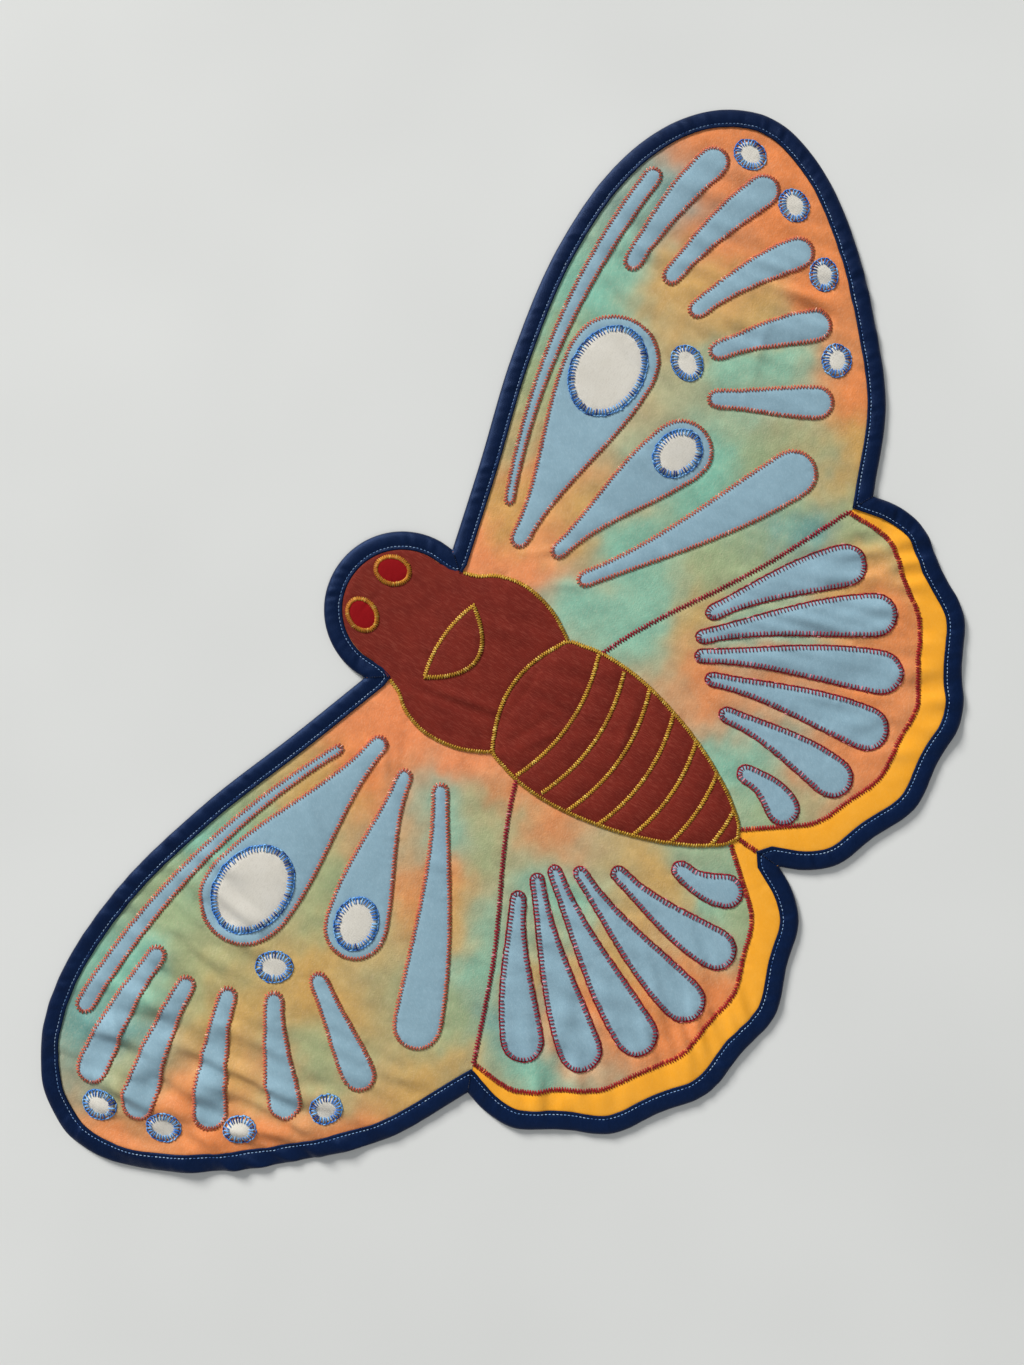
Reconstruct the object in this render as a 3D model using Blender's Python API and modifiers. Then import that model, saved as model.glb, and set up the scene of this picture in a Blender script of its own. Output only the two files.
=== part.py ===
"""Moth-shaped wall quilt: pieced wings on a plain backing, appliqued cells and body, bound edge.

The quilt lies flat with its head towards +Y and its wings along X. Sizes are in metres.
"""
import math
from typing import NamedTuple

import bmesh
import bpy
from mathutils import Matrix, Vector
from mathutils.geometry import delaunay_2d_cdt, interpolate_bezier

# Cloth and its layers, from the backing up
SEAM_GAP = 0.0003
BACKING_THICKNESS = 0.0010
PANEL_THICKNESS = 0.0016
APPLIQUE_THICKNESS = 0.0010
BODY_THICKNESS = 0.0012
BINDING_CLOTH = 0.0010
PANEL_LEVEL = BACKING_THICKNESS + SEAM_GAP
APPLIQUE_LEVEL = PANEL_LEVEL + PANEL_THICKNESS + SEAM_GAP
TOP_LEVEL = APPLIQUE_LEVEL + APPLIQUE_THICKNESS + SEAM_GAP
ON_BODY_LEVEL = APPLIQUE_LEVEL + BODY_THICKNESS + SEAM_GAP

# Edge of the quilt
BINDING_WIDTH = 0.0130
BINDING_CHAMFER = 0.0007
BINDING_TOP = APPLIQUE_LEVEL + BINDING_CLOTH
BORDER_WIDTH_AT_SEAM = 0.0060
BORDER_WIDTH = 0.0170
BORDER_TAPER = 2.5
BORDER_TAIL_X = 0.028
MITRE_LIMIT = 1.45
BEYOND = 0.6

# Spacing of the points on an outline and inside a piece
OUTLINE_STEP = 0.0140
CELL_STEP = 0.0115
PANEL_GRAIN = 0.0185
CELL_GRAIN = 0.0150
GRAIN_CLEAR = 0.5
TIP_STEPS = 6
ROOT_STEPS = 4
SPOT_STEPS = 12

# Head, a round dome
HEAD_RADIUS = 0.054
HEAD_CENTRE = Vector((0.0, 0.010))
HEAD_NOTCH_ANGLE = math.radians(-6)
HEAD_STEPS = 9

# Hindwing, swept round a centre near the body with shallow scallops
HINDWING_CENTRE = Vector((0.060, -0.126))
HINDWING_START = Vector((0.246, -0.214))
TAIL_NOTCH = Vector((0.0, -0.302))
HINDWING_FULLNESS = 0.040
HINDWING_SQUARENESS = 0.7
SCALLOPS = 5
SCALLOP_DEPTH = 0.0046
PETAL_BOW = 0.003
HINDWING_STEPS = 30

# Where the forewing meets the hindwing, from the notch to the middle of the body
WING_SEAM = ((0.246, -0.214), (0.160, -0.177), (0.075, -0.131), (0.0, -0.104))


class EdgePoint(NamedTuple):
    """A point that the forewing's edge passes through."""

    x: float
    y: float


class Cell(NamedTuple):
    """A tapering applique with round ends, bowed to one side."""

    name: str
    root_x: float
    root_y: float
    tip_x: float
    tip_y: float
    root_width: float
    tip_width: float
    bow: float


class Petal(NamedTuple):
    """A hindwing applique on a ray from the hindwing's centre, at so many degrees from +X."""

    name: str
    angle: float
    start: float
    end: float
    root_width: float
    tip_width: float


class Spot(NamedTuple):
    """A round or oval applique, turned by some degrees."""

    name: str
    x: float
    y: float
    half_width: float
    half_height: float
    turn: float


class Station(NamedTuple):
    """Half the width of a body piece at one place along it."""

    y: float
    half_width: float


class Fold(NamedTuple):
    """A soft ridge in the lying quilt, heading so many degrees from +X."""

    x: float
    y: float
    heading: float
    half_length: float
    half_width: float
    height: float


FOREWING_EDGE = (
    EdgePoint(0.112, 0.022),
    EdgePoint(0.190, 0.047),
    EdgePoint(0.270, 0.063),
    EdgePoint(0.345, 0.061),
    EdgePoint(0.399, 0.037),
    EdgePoint(0.426, -0.006),
    EdgePoint(0.418, -0.054),
    EdgePoint(0.388, -0.103),
    EdgePoint(0.346, -0.149),
    EdgePoint(0.302, -0.187),
)

FOREWING_CELLS = (
    Cell("costal", 0.104, -0.009, 0.346, 0.036, 0.006, 0.012, 0.015),
    Cell("discal", 0.086, -0.030, 0.224, -0.014, 0.012, 0.063, 0.000),
    Cell("median", 0.094, -0.057, 0.198, -0.088, 0.010, 0.042, 0.002),
    Cell("anal", 0.088, -0.083, 0.228, -0.160, 0.010, 0.032, -0.004),
    Cell("fan_1", 0.290, 0.014, 0.378, 0.007, 0.012, 0.021, 0.003),
    Cell("fan_2", 0.296, -0.014, 0.380, -0.033, 0.012, 0.022, 0.003),
    Cell("fan_3", 0.286, -0.042, 0.357, -0.077, 0.012, 0.022, 0.003),
    Cell("fan_4", 0.270, -0.070, 0.322, -0.115, 0.012, 0.022, 0.002),
    Cell("fan_5", 0.242, -0.088, 0.278, -0.146, 0.012, 0.022, 0.000),
)

HINDWING_PETALS = (
    Petal("petal_1", -36.0, 0.072, 0.168, 0.009, 0.027),
    Petal("petal_2", -48.5, 0.061, 0.179, 0.008, 0.028),
    Petal("petal_3", -61.0, 0.060, 0.182, 0.008, 0.028),
    Petal("petal_4", -73.5, 0.070, 0.180, 0.008, 0.028),
    Petal("petal_5", -86.5, 0.089, 0.172, 0.009, 0.026),
    Petal("petal_6", -99.5, 0.124, 0.158, 0.011, 0.021),
)

FOREWING_DISCS = (
    Spot("disc_1", 0.2160, -0.0148, 0.0310, 0.0235, 6.0),
    Spot("disc_2", 0.1950, -0.0868, 0.0165, 0.0130, -16.0),
)

FOREWING_SPOTS = (
    Spot("spot_1", 0.3965, -0.0115, 0.0100, 0.0080, 80.0),
    Spot("spot_2", 0.3835, -0.0565, 0.0100, 0.0080, 60.0),
    Spot("spot_3", 0.3545, -0.1005, 0.0095, 0.0075, 45.0),
    Spot("spot_4", 0.3100, -0.1410, 0.0095, 0.0080, 30.0),
    Spot("spot_5", 0.2510, -0.0570, 0.0110, 0.0085, 60.0),
)

# Body pieces, from the head to the tail
EYE = Spot("eye", 0.0185, 0.030, 0.0095, 0.0120, 20.0)
NECK_Y = -0.0100
NECK_HALF_WIDTH = 0.0395
NECK_RISE = 0.0060
WAIST_Y = -0.0980
WAIST_HALF_WIDTH = 0.0460
WAIST_RISE = 0.0150
THORAX_CROWN = 0.0010
THORAX_REACH = Vector((0.062, 0.050))
COLLAR_Y = -0.0300
COLLAR_HALF_WIDTH = 0.0300
COLLAR_FRONT_RISE = 0.0050
COLLAR_REAR_RISE = -0.0230

THORAX_SIDE = (
    Station(-0.030, 0.0550),
    Station(-0.052, 0.0610),
    Station(-0.078, 0.0565),
)

ABDOMEN_SIDE = (
    Station(-0.120, 0.0520),
    Station(-0.150, 0.0525),
    Station(-0.185, 0.0460),
    Station(-0.218, 0.0350),
    Station(-0.246, 0.0210),
    Station(-0.263, 0.0085),
)
ABDOMEN_TIP_Y = -0.2680
FIRST_SEGMENT_Y = -0.1200
SEGMENT_PITCH = 0.0210
SEGMENT_COUNT = 7
SEGMENT_SAG = 0.0100
SEGMENT_HALF_WIDTH = 0.0500
SEGMENT_PUFF = 0.0012
SEGMENT_SHOULDER = 0.0090
FRONT_SEGMENT_SHARE = 1.76

# Soft folds of the lying quilt, most of them in the left forewing
FOLDS = (
    Fold(-0.330, -0.030, 62.0, 0.060, 0.021, 0.0020),
    Fold(-0.372, -0.030, 70.0, 0.045, 0.019, 0.0014),
    Fold(-0.285, -0.075, 55.0, 0.060, 0.022, 0.0018),
    Fold(-0.245, -0.120, 40.0, 0.050, 0.022, 0.0012),
    Fold(-0.180, -0.020, 15.0, 0.070, 0.026, 0.0012),
    Fold(0.300, -0.060, -35.0, 0.060, 0.024, 0.0014),
    Fold(0.345, 0.010, -70.0, 0.045, 0.022, 0.0012),
    Fold(0.190, -0.060, -10.0, 0.080, 0.028, 0.0014),
    Fold(0.140, -0.230, -50.0, 0.070, 0.026, 0.0012),
    Fold(-0.120, -0.240, 230.0, 0.070, 0.026, 0.0014),
)


class Cloth(NamedTuple):
    """Colour and finish of one cloth."""

    name: str
    colour: tuple[float, float, float]
    roughness: float


NAVY_BINDING = Cloth("navy binding cotton", (0.004, 0.011, 0.058), 0.75)
DYED_COTTON = Cloth("dyed cotton", (0.72, 0.34, 0.17), 0.85)
YELLOW_SATEEN = Cloth("yellow sateen", (0.86, 0.42, 0.02), 0.65)
PALE_BLUE = Cloth("pale-blue brushed cloth", (0.26, 0.40, 0.50), 0.90)
OFF_WHITE = Cloth("off-white cloth", (0.78, 0.75, 0.70), 0.90)
RUST_TWILL = Cloth("rust-brown twill", (0.19, 0.035, 0.025), 0.90)
RED_COTTON = Cloth("red cotton", (0.42, 0.002, 0.006), 0.80)
BACKING_COTTON = Cloth("plain backing cotton", (0.74, 0.70, 0.62), 0.90)


def clear_scene() -> None:
    """Remove everything that a new file holds."""
    for item in list(bpy.data.objects):
        bpy.data.objects.remove(item, do_unlink=True)


def material_of(cloth: Cloth) -> bpy.types.Material:
    """The Principled material of a cloth, made once."""
    material = bpy.data.materials.get(cloth.name)
    if material is None:
        material = bpy.data.materials.new(cloth.name)
        material.use_nodes = True
        shader = material.node_tree.nodes["Principled BSDF"]
        shader.inputs["Base Color"].default_value = (*cloth.colour, 1.0)
        shader.inputs["Roughness"].default_value = cloth.roughness
        shader.inputs["Metallic"].default_value = 0.0
    return material


def flipped(points: list[Vector]) -> list[Vector]:
    """The same line on the left of the body, run the other way."""
    return [Vector((-point.x, point.y)) for point in reversed(points)]


def smooth_line(points: list[Vector], step: float) -> list[Vector]:
    """Points about one step apart on the soft curve through the given ones."""
    ends = [2 * points[0] - points[1], *points, 2 * points[-1] - points[-2]]
    line = []
    for before, start, end, after in zip(ends, ends[1:], ends[2:], ends[3:]):
        reach = (end - start).length
        leave = start + (end - before).normalized() * reach / 3
        arrive = end - (after - start).normalized() * reach / 3
        count = max(2, round(reach / step) + 1)
        line += interpolate_bezier(start, leave, arrive, end, count)[:-1]
    return [point.to_2d() for point in line] + [points[-1].copy()]


def arc(centre: Vector, radius: float, start: float, end: float, count: int) -> list[Vector]:
    """Points on an arc, with both its ends."""
    angles = [start + (end - start) * i / count for i in range(count + 1)]
    return [centre + radius * Vector((math.cos(angle), math.sin(angle))) for angle in angles]


def hindwing_edge() -> list[Vector]:
    """The scalloped hindwing edge, from the notch behind the forewing to the tail notch."""
    start = HINDWING_START - HINDWING_CENTRE
    end = TAIL_NOTCH - HINDWING_CENTRE
    first = math.atan2(start.y, start.x)
    last = math.atan2(end.y, end.x)
    edge = []
    for i in range(HINDWING_STEPS + 1):
        share = i / HINDWING_STEPS
        angle = first + (last - first) * share
        radius = start.length + (end.length - start.length) * share
        radius += HINDWING_FULLNESS * math.sin(math.pi * share) ** HINDWING_SQUARENESS
        radius += SCALLOP_DEPTH * math.sin(math.pi * SCALLOPS * share) ** 2
        edge.append(HINDWING_CENTRE + radius * Vector((math.cos(angle), math.sin(angle))))
    return edge


def head_edge(radius: float) -> list[Vector]:
    """The right half of the head's dome at the given radius, from the crown to the notch."""
    return arc(HEAD_CENTRE, radius, math.pi / 2, HEAD_NOTCH_ANGLE, HEAD_STEPS)


def forewing_edge() -> list[Vector]:
    """The forewing's edge, from the notch beside the head to the notch before the hindwing."""
    notch = head_edge(HEAD_RADIUS)[-1]
    points = [notch, *(Vector(point) for point in FOREWING_EDGE), HINDWING_START]
    return smooth_line(points, OUTLINE_STEP)


def half_outline() -> list[Vector]:
    """The right half of the quilt's edge, from the crown of the head to the tail notch."""
    return head_edge(HEAD_RADIUS)[:-1] + forewing_edge()[:-1] + hindwing_edge()


def whole_outline() -> list[Vector]:
    """The quilt's whole edge, clockwise from the crown of the head."""
    half = half_outline()
    return half + flipped(half)[1:-1]


def inward(line: list[Vector], closed: bool) -> list[Vector]:
    """For each point of a clockwise edge, the mitred step towards the inside."""
    steps = []
    last = len(line) - 1
    for i, point in enumerate(line):
        before = line[i - 1] if closed or i > 0 else point
        after = line[(i + 1) % len(line)] if closed or i < last else point
        arriving = (point - before).normalized() if point != before else (after - point).normalized()
        leaving = (after - point).normalized() if point != after else arriving
        side_in = Vector((arriving.y, -arriving.x))
        side_out = Vector((leaving.y, -leaving.x))
        middle = side_in + side_out
        step = middle / (1 + side_in.dot(side_out))
        if step.length > MITRE_LIMIT:
            step = middle.normalized() * MITRE_LIMIT
        steps.append(step)
    return steps


def inset_outline(depth: float) -> list[Vector]:
    """The quilt's edge moved inwards by the given depth."""
    edge = whole_outline()
    return [point + step * depth for point, step in zip(edge, inward(edge, True))]


def distance_to_edge(place: Vector, edge: list[Vector]) -> float:
    """The shortest way from a place to a closed edge."""
    nearest = math.inf
    for start, end in zip(edge, edge[1:] + edge[:1]):
        run = end - start
        share = min(1.0, max(0.0, (place - start).dot(run) / run.length_squared))
        nearest = min(nearest, (place - start - run * share).length)
    return nearest


def holds(edge: list[Vector], place: Vector) -> bool:
    """Whether a place lies inside a closed edge."""
    inside = False
    for start, end in zip(edge, edge[1:] + edge[:1]):
        if (start.y > place.y) != (end.y > place.y):
            crossing = start.x + (place.y - start.y) / (end.y - start.y) * (end.x - start.x)
            inside ^= place.x < crossing
    return inside


def grain_points(inside: list[list[Vector]], outside: list[list[Vector]], grain: float) -> list[Vector]:
    """A staggered grid of points inside some edges and outside others, kept clear of them all."""
    left, front = (max(min(point[i] for point in edge) for edge in inside) for i in (0, 1))
    right, rear = (min(max(point[i] for point in edge) for edge in inside) for i in (0, 1))
    row_step = grain * math.sqrt(3) / 2
    points = []
    for row in range(math.ceil((rear - front) / row_step) + 1):
        for column in range(math.ceil((right - left) / grain) + 1):
            place = Vector((left + grain * (column + 0.5 * (row % 2)), front + row_step * row))
            if not all(holds(edge, place) for edge in inside):
                continue
            if any(holds(edge, place) for edge in outside):
                continue
            if min(distance_to_edge(place, edge) for edge in inside + outside) > GRAIN_CLEAR * grain:
                points.append(place)
    return points


def folds_at(place: Vector) -> float:
    """How far the soft folds lift the cloth at a place."""
    lift = 0.0
    for fold in FOLDS:
        turned = place - Vector((fold.x, fold.y))
        turned.rotate(Matrix.Rotation(-math.radians(fold.heading), 2))
        fading = (turned.x / fold.half_length) ** 2 + (turned.y / fold.half_width) ** 2
        lift += fold.height * math.exp(-fading)
    return lift


def flat_direction(degrees: float) -> Vector:
    """The unit direction at so many degrees from +X."""
    angle = math.radians(degrees)
    return Vector((math.cos(angle), math.sin(angle)))


def put_in_quilt(item: bpy.types.Object, cloth: Cloth) -> bpy.types.Object:
    """Link a finished piece to the quilt's collection and give it its cloth."""
    quilt = bpy.data.collections.get("moth quilt")
    if quilt is None:
        quilt = bpy.data.collections.new("moth quilt")
        bpy.context.scene.collection.children.link(quilt)
    quilt.objects.link(item)
    item.data.materials.append(material_of(cloth))
    return item


def filled_between(inside: list[list[Vector]], outside: list[list[Vector]],
                   inner: list[Vector]) -> tuple[list[Vector], list[list[int]]]:
    """The triangles that lie inside every one of some edges and outside all the others."""
    places, loops = [], []
    for edge in inside + outside:
        turning = sum(a.x * b.y - b.x * a.y for a, b in zip(edge, edge[1:] + edge[:1]))
        ordered = edge if turning > 0 else edge[::-1]
        loops.append(list(range(len(places), len(places) + len(ordered))))
        places += ordered
    wanted = set(range(len(inside)))
    points, _, faces, _, _, sources = delaunay_2d_cdt(places + inner, [], loops, 1, 1e-7)
    kept = [list(face) for face, source in zip(faces, sources) if set(source) == wanted]
    used = sorted({i for face in kept for i in face})
    order = {old: new for new, old in enumerate(used)}
    return [points[i] for i in used], [[order[i] for i in face] for face in kept]


def sheet_piece(name: str, cloth: Cloth, level: float, thickness: float, grain: float,
                inside: list[list[Vector]], outside: list[list[Vector]] = (), inner=None,
                puff=None) -> bpy.types.Object:
    """A cut of cloth inside some edges and outside others, laid on the folds and made solid upwards."""
    outside = list(outside)
    if inner is None:
        inner = grain_points(inside, outside, grain)
    places, faces = filled_between(inside, outside, inner)
    corners = []
    for place in places:
        lift = folds_at(place) + (puff(place) if puff else 0.0)
        corners.append((place.x, place.y - MIDDLE_Y, level + lift))
    mesh = bpy.data.meshes.new(name)
    mesh.from_pydata(corners, [], faces)
    item = bpy.data.objects.new(name, mesh)
    solid = item.modifiers.new("Cloth thickness", "SOLIDIFY")
    solid.thickness = thickness
    solid.offset = 1.0
    return put_in_quilt(item, cloth)


def flat_piece(name: str, edge: list[Vector], thickness: float, cloth: Cloth) -> bpy.types.Object:
    """A flat cut of cloth inside an edge, resting on the ground."""
    curve = bpy.data.curves.new(name, "CURVE")
    curve.dimensions = "2D"
    curve.fill_mode = "BOTH"
    curve.extrude = thickness / 2
    spline = curve.splines.new("POLY")
    spline.points.add(len(edge) - 1)
    spline.use_cyclic_u = True
    for point, place in zip(spline.points, edge):
        point.co = (place.x, place.y, 0.0, 1.0)
    item = bpy.data.objects.new(name, curve)
    item.location = (0.0, -MIDDLE_Y, thickness / 2)
    return put_in_quilt(item, cloth)


def build_backing() -> None:
    """The plain backing, up to the binding's lower fold."""
    edge = inset_outline(BINDING_WIDTH + SEAM_GAP)
    flat_piece("backing", edge, BACKING_THICKNESS, BACKING_COTTON)


def build_binding() -> None:
    """The bias strip folded round the whole edge, a C in section open to the inside."""
    upper_under = BINDING_TOP - BINDING_CLOTH
    section = (
        (BINDING_WIDTH, 0.0),
        (BINDING_CHAMFER, 0.0),
        (0.0, BINDING_CHAMFER),
        (0.0, BINDING_TOP - BINDING_CHAMFER),
        (BINDING_CHAMFER, BINDING_TOP),
        (BINDING_WIDTH, BINDING_TOP),
        (BINDING_WIDTH, upper_under),
        (BINDING_CLOTH, upper_under),
        (BINDING_CLOTH, BINDING_CLOTH),
        (BINDING_WIDTH, BINDING_CLOTH),
    )
    edge = whole_outline()
    steps = inward(edge, True)
    work = bmesh.new()
    rings = []
    for place, step in zip(edge, steps):
        ring = []
        for depth, height in section:
            spot = place + step * depth
            lift = folds_at(spot) if height > PANEL_LEVEL else 0.0
            ring.append(work.verts.new((spot.x, spot.y - MIDDLE_Y, height + lift)))
        rings.append(ring)
    for ring, after in zip(rings, rings[1:] + rings[:1]):
        for i in range(len(section)):
            j = (i + 1) % len(section)
            work.faces.new((ring[i], ring[j], after[j], after[i]))
    bmesh.ops.recalc_face_normals(work, faces=work.faces)
    mesh = bpy.data.meshes.new("binding")
    work.to_mesh(mesh)
    work.free()
    put_in_quilt(bpy.data.objects.new("binding", mesh), NAVY_BINDING)


def wing_seam(offset: float) -> list[Vector]:
    """The seam between the wings, from outside the notch to the middle, moved along Y by an offset."""
    seam = smooth_line([Vector(point) for point in WING_SEAM], 2 * OUTLINE_STEP)
    seam.insert(0, seam[0] + (seam[0] - seam[1]).normalized() * BEYOND)
    seam.append(Vector((-BEYOND, seam[-1].y)))
    return [Vector((point.x, point.y + offset)) for point in seam]


def wing_zone(offset: float, far_y: float) -> list[Vector]:
    """Everything on one side of the wing seam, which is moved along Y by an offset."""
    seam = wing_seam(offset)
    return seam + [Vector((-BEYOND, far_y)), Vector((seam[0].x, far_y))]


def right_zone() -> list[Vector]:
    """Everything on the right of the middle, less half a seam gap."""
    corners = ((SEAM_GAP / 2, -BEYOND), (BEYOND, -BEYOND), (BEYOND, BEYOND), (SEAM_GAP / 2, BEYOND))
    return [Vector(corner) for corner in corners]


def border_zone(offset: float) -> list[Vector]:
    """The hindwing inside its yellow border, which meets the abdomen's tip, made smaller by an offset."""
    edge = [point for point in hindwing_edge() if point.x > BORDER_TAIL_X]
    line = []
    for i, (place, step) in enumerate(zip(edge, inward(edge, False))):
        widening = math.sin(0.5 * math.pi * min(1.0, BORDER_TAPER * i / HINDWING_STEPS))
        width = BORDER_WIDTH_AT_SEAM + (BORDER_WIDTH - BORDER_WIDTH_AT_SEAM) * widening
        line.append(place + step * (BINDING_WIDTH + width + offset))
    line.append(Vector((0.0, ABDOMEN_TIP_Y + SEGMENT_SHOULDER + offset)))
    line.append(Vector((-BEYOND, line[-1].y)))
    return line + [Vector((-BEYOND, 0.0)), Vector((line[0].x, 0.0))]


def side_name(stem: str, side: int) -> str:
    """A piece's name with the side it lies on."""
    return f"{stem}_right" if side > 0 else f"{stem}_left"


def on_side(edges: list[list[Vector]], side: int) -> list[list[Vector]]:
    """Right-hand edges, or their mirror images for the left."""
    return edges if side > 0 else [flipped(edge) for edge in edges]


def build_panels(side: int) -> None:
    """The wing panels of one side, which lie between the binding's folds."""
    rim = inset_outline(BINDING_CLOTH + SEAM_GAP)
    half_gap = SEAM_GAP / 2
    front = wing_zone(half_gap, BEYOND)
    rear = wing_zone(-half_gap, -BEYOND)
    panels = (
        ("forewing", DYED_COTTON, [rim, right_zone(), front], []),
        ("hindwing", DYED_COTTON, [rim, right_zone(), rear, border_zone(half_gap)], []),
        ("border", YELLOW_SATEEN, [rim, right_zone(), rear], [border_zone(-half_gap)]),
    )
    for stem, cloth, inside, outside in panels:
        sheet_piece(side_name(stem, side), cloth, PANEL_LEVEL, PANEL_THICKNESS, PANEL_GRAIN,
                    on_side(inside, side), on_side(outside, side))


def round_end(middle: Vector, towards: Vector, radius: float, count: int) -> list[Vector]:
    """Points round the end of an applique, without the two where its sides begin."""
    heading = math.atan2(towards.y, towards.x)
    angles = [heading + math.pi / 2 - math.pi * i / count for i in range(1, count)]
    return [middle + radius * Vector((math.cos(angle), math.sin(angle))) for angle in angles]


def tapering_edge(root: Vector, tip: Vector, root_width: float, tip_width: float,
                  bow: float) -> list[Vector]:
    """The edge of a tapering applique with round ends whose middle line bows to the left."""
    run = tip - root
    across = Vector((-run.y, run.x)).normalized()
    count = max(4, round(run.length / CELL_STEP))
    shares = [i / count for i in range(count + 1)]
    middle = [root + run * share + across * bow * 4 * share * (1 - share) for share in shares]
    left, right = [], []
    for i, (place, share) in enumerate(zip(middle, shares)):
        ahead = (middle[min(i + 1, count)] - middle[max(i - 1, 0)]).normalized()
        half = 0.5 * (root_width + (tip_width - root_width) * share * share * (3 - 2 * share))
        out = Vector((-ahead.y, ahead.x)) * half
        left.append(place + out)
        right.append(place - out)
    end = round_end(middle[-1], middle[-1] - middle[-2], tip_width / 2, TIP_STEPS)
    start = round_end(middle[0], middle[0] - middle[1], root_width / 2, ROOT_STEPS)
    return left + end + right[::-1] + start


def oval_edge(spot: Spot) -> list[Vector]:
    """The edge of a round or oval applique."""
    edge = []
    for i in range(SPOT_STEPS):
        angle = math.tau * i / SPOT_STEPS
        place = Vector((spot.half_width * math.cos(angle), spot.half_height * math.sin(angle)))
        place.rotate(Matrix.Rotation(math.radians(spot.turn), 2))
        edge.append(place + Vector((spot.x, spot.y)))
    return edge


def build_wing_appliques(side: int) -> None:
    """The pale-blue cells and petals and the off-white spots of one side."""
    for cell in FOREWING_CELLS:
        edge = tapering_edge(Vector((cell.root_x, cell.root_y)), Vector((cell.tip_x, cell.tip_y)),
                             cell.root_width, cell.tip_width, cell.bow)
        sheet_piece(side_name(cell.name, side), PALE_BLUE, APPLIQUE_LEVEL, APPLIQUE_THICKNESS,
                    CELL_GRAIN, on_side([edge], side))
    for petal in HINDWING_PETALS:
        ray = flat_direction(petal.angle)
        edge = tapering_edge(HINDWING_CENTRE + ray * petal.start, HINDWING_CENTRE + ray * petal.end,
                             petal.root_width, petal.tip_width, PETAL_BOW)
        sheet_piece(side_name(petal.name, side), PALE_BLUE, APPLIQUE_LEVEL, APPLIQUE_THICKNESS,
                    CELL_GRAIN, on_side([edge], side))
    for spot in FOREWING_SPOTS:
        sheet_piece(side_name(spot.name, side), OFF_WHITE, APPLIQUE_LEVEL, APPLIQUE_THICKNESS,
                    CELL_GRAIN, on_side([oval_edge(spot)], side))
    for disc in FOREWING_DISCS:
        sheet_piece(side_name(disc.name, side), OFF_WHITE, TOP_LEVEL, APPLIQUE_THICKNESS,
                    CELL_GRAIN, on_side([oval_edge(disc)], side))


def joint_line(y: float, half_width: float, rise: float, count: int) -> list[Vector]:
    """The arched line where two body pieces meet, from right to left."""
    xs = [half_width * (1 - 2 * i / count) for i in range(count + 1)]
    return [Vector((x, y + rise * (1 - (x / half_width) ** 2))) for x in xs]


def head_outline() -> list[Vector]:
    """The head inside the binding, down to the neck."""
    dome = head_edge(HEAD_RADIUS - BINDING_WIDTH - SEAM_GAP)
    neck = joint_line(NECK_Y + SEAM_GAP, NECK_HALF_WIDTH, NECK_RISE, 8)
    return dome + neck + flipped(dome)[:-1]


def thorax_outline() -> list[Vector]:
    """The thorax, from the neck to the waist."""
    neck = joint_line(NECK_Y, NECK_HALF_WIDTH, NECK_RISE, 8)
    waist = joint_line(WAIST_Y + SEAM_GAP, WAIST_HALF_WIDTH, WAIST_RISE, 10)
    points = [neck[0], *(Vector((s.half_width, s.y)) for s in THORAX_SIDE), waist[0]]
    side = smooth_line(points, CELL_STEP)
    return side[:-1] + waist + flipped(side)[1:] + neck[::-1][1:-1]


def abdomen_outline() -> list[Vector]:
    """The abdomen, from the waist to its tip."""
    waist = joint_line(WAIST_Y, WAIST_HALF_WIDTH, WAIST_RISE, 10)
    tip = Vector((0.0, ABDOMEN_TIP_Y))
    points = [waist[0], *(Vector((s.half_width, s.y)) for s in ABDOMEN_SIDE)]
    side = smooth_line(points, CELL_STEP)
    return side + [tip] + flipped(side) + waist[::-1][1:-1]


def collar_outline() -> list[Vector]:
    """The half-moon collar on the thorax."""
    front = joint_line(COLLAR_Y, COLLAR_HALF_WIDTH, COLLAR_FRONT_RISE, 8)
    rear = joint_line(COLLAR_Y, COLLAR_HALF_WIDTH, COLLAR_REAR_RISE, 8)
    return front + rear[::-1][1:-1]


def segment_share(place: Vector) -> float:
    """How many segments a place lies behind the abdomen's first segment line."""
    sag = SEGMENT_SAG * (1 - (place.x / SEGMENT_HALF_WIDTH) ** 2)
    return (FIRST_SEGMENT_Y - sag - place.y) / SEGMENT_PITCH


def segment_points(edge: list[Vector]) -> list[Vector]:
    """Points on every segment line and halfway between, kept clear of the edge."""
    points = []
    columns = round(2 * SEGMENT_HALF_WIDTH / CELL_GRAIN)
    for row in range(-3, 2 * SEGMENT_COUNT):
        for column in range(columns + 1):
            x = SEGMENT_HALF_WIDTH * (2 * column / columns - 1)
            sag = SEGMENT_SAG * (1 - (x / SEGMENT_HALF_WIDTH) ** 2)
            place = Vector((x, FIRST_SEGMENT_Y - sag - SEGMENT_PITCH * row / 2))
            if holds(edge, place) and distance_to_edge(place, edge) > 0.35 * CELL_GRAIN:
                points.append(place)
    return points


def thorax_crown(place: Vector) -> float:
    """How much the padding lifts the thorax and the collar on it."""
    reach_x = place.x / THORAX_REACH.x
    reach_y = (place.y - (NECK_Y + WAIST_Y) / 2) / THORAX_REACH.y
    return THORAX_CROWN * max(0.0, 1 - reach_x ** 2 - reach_y ** 2)


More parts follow.
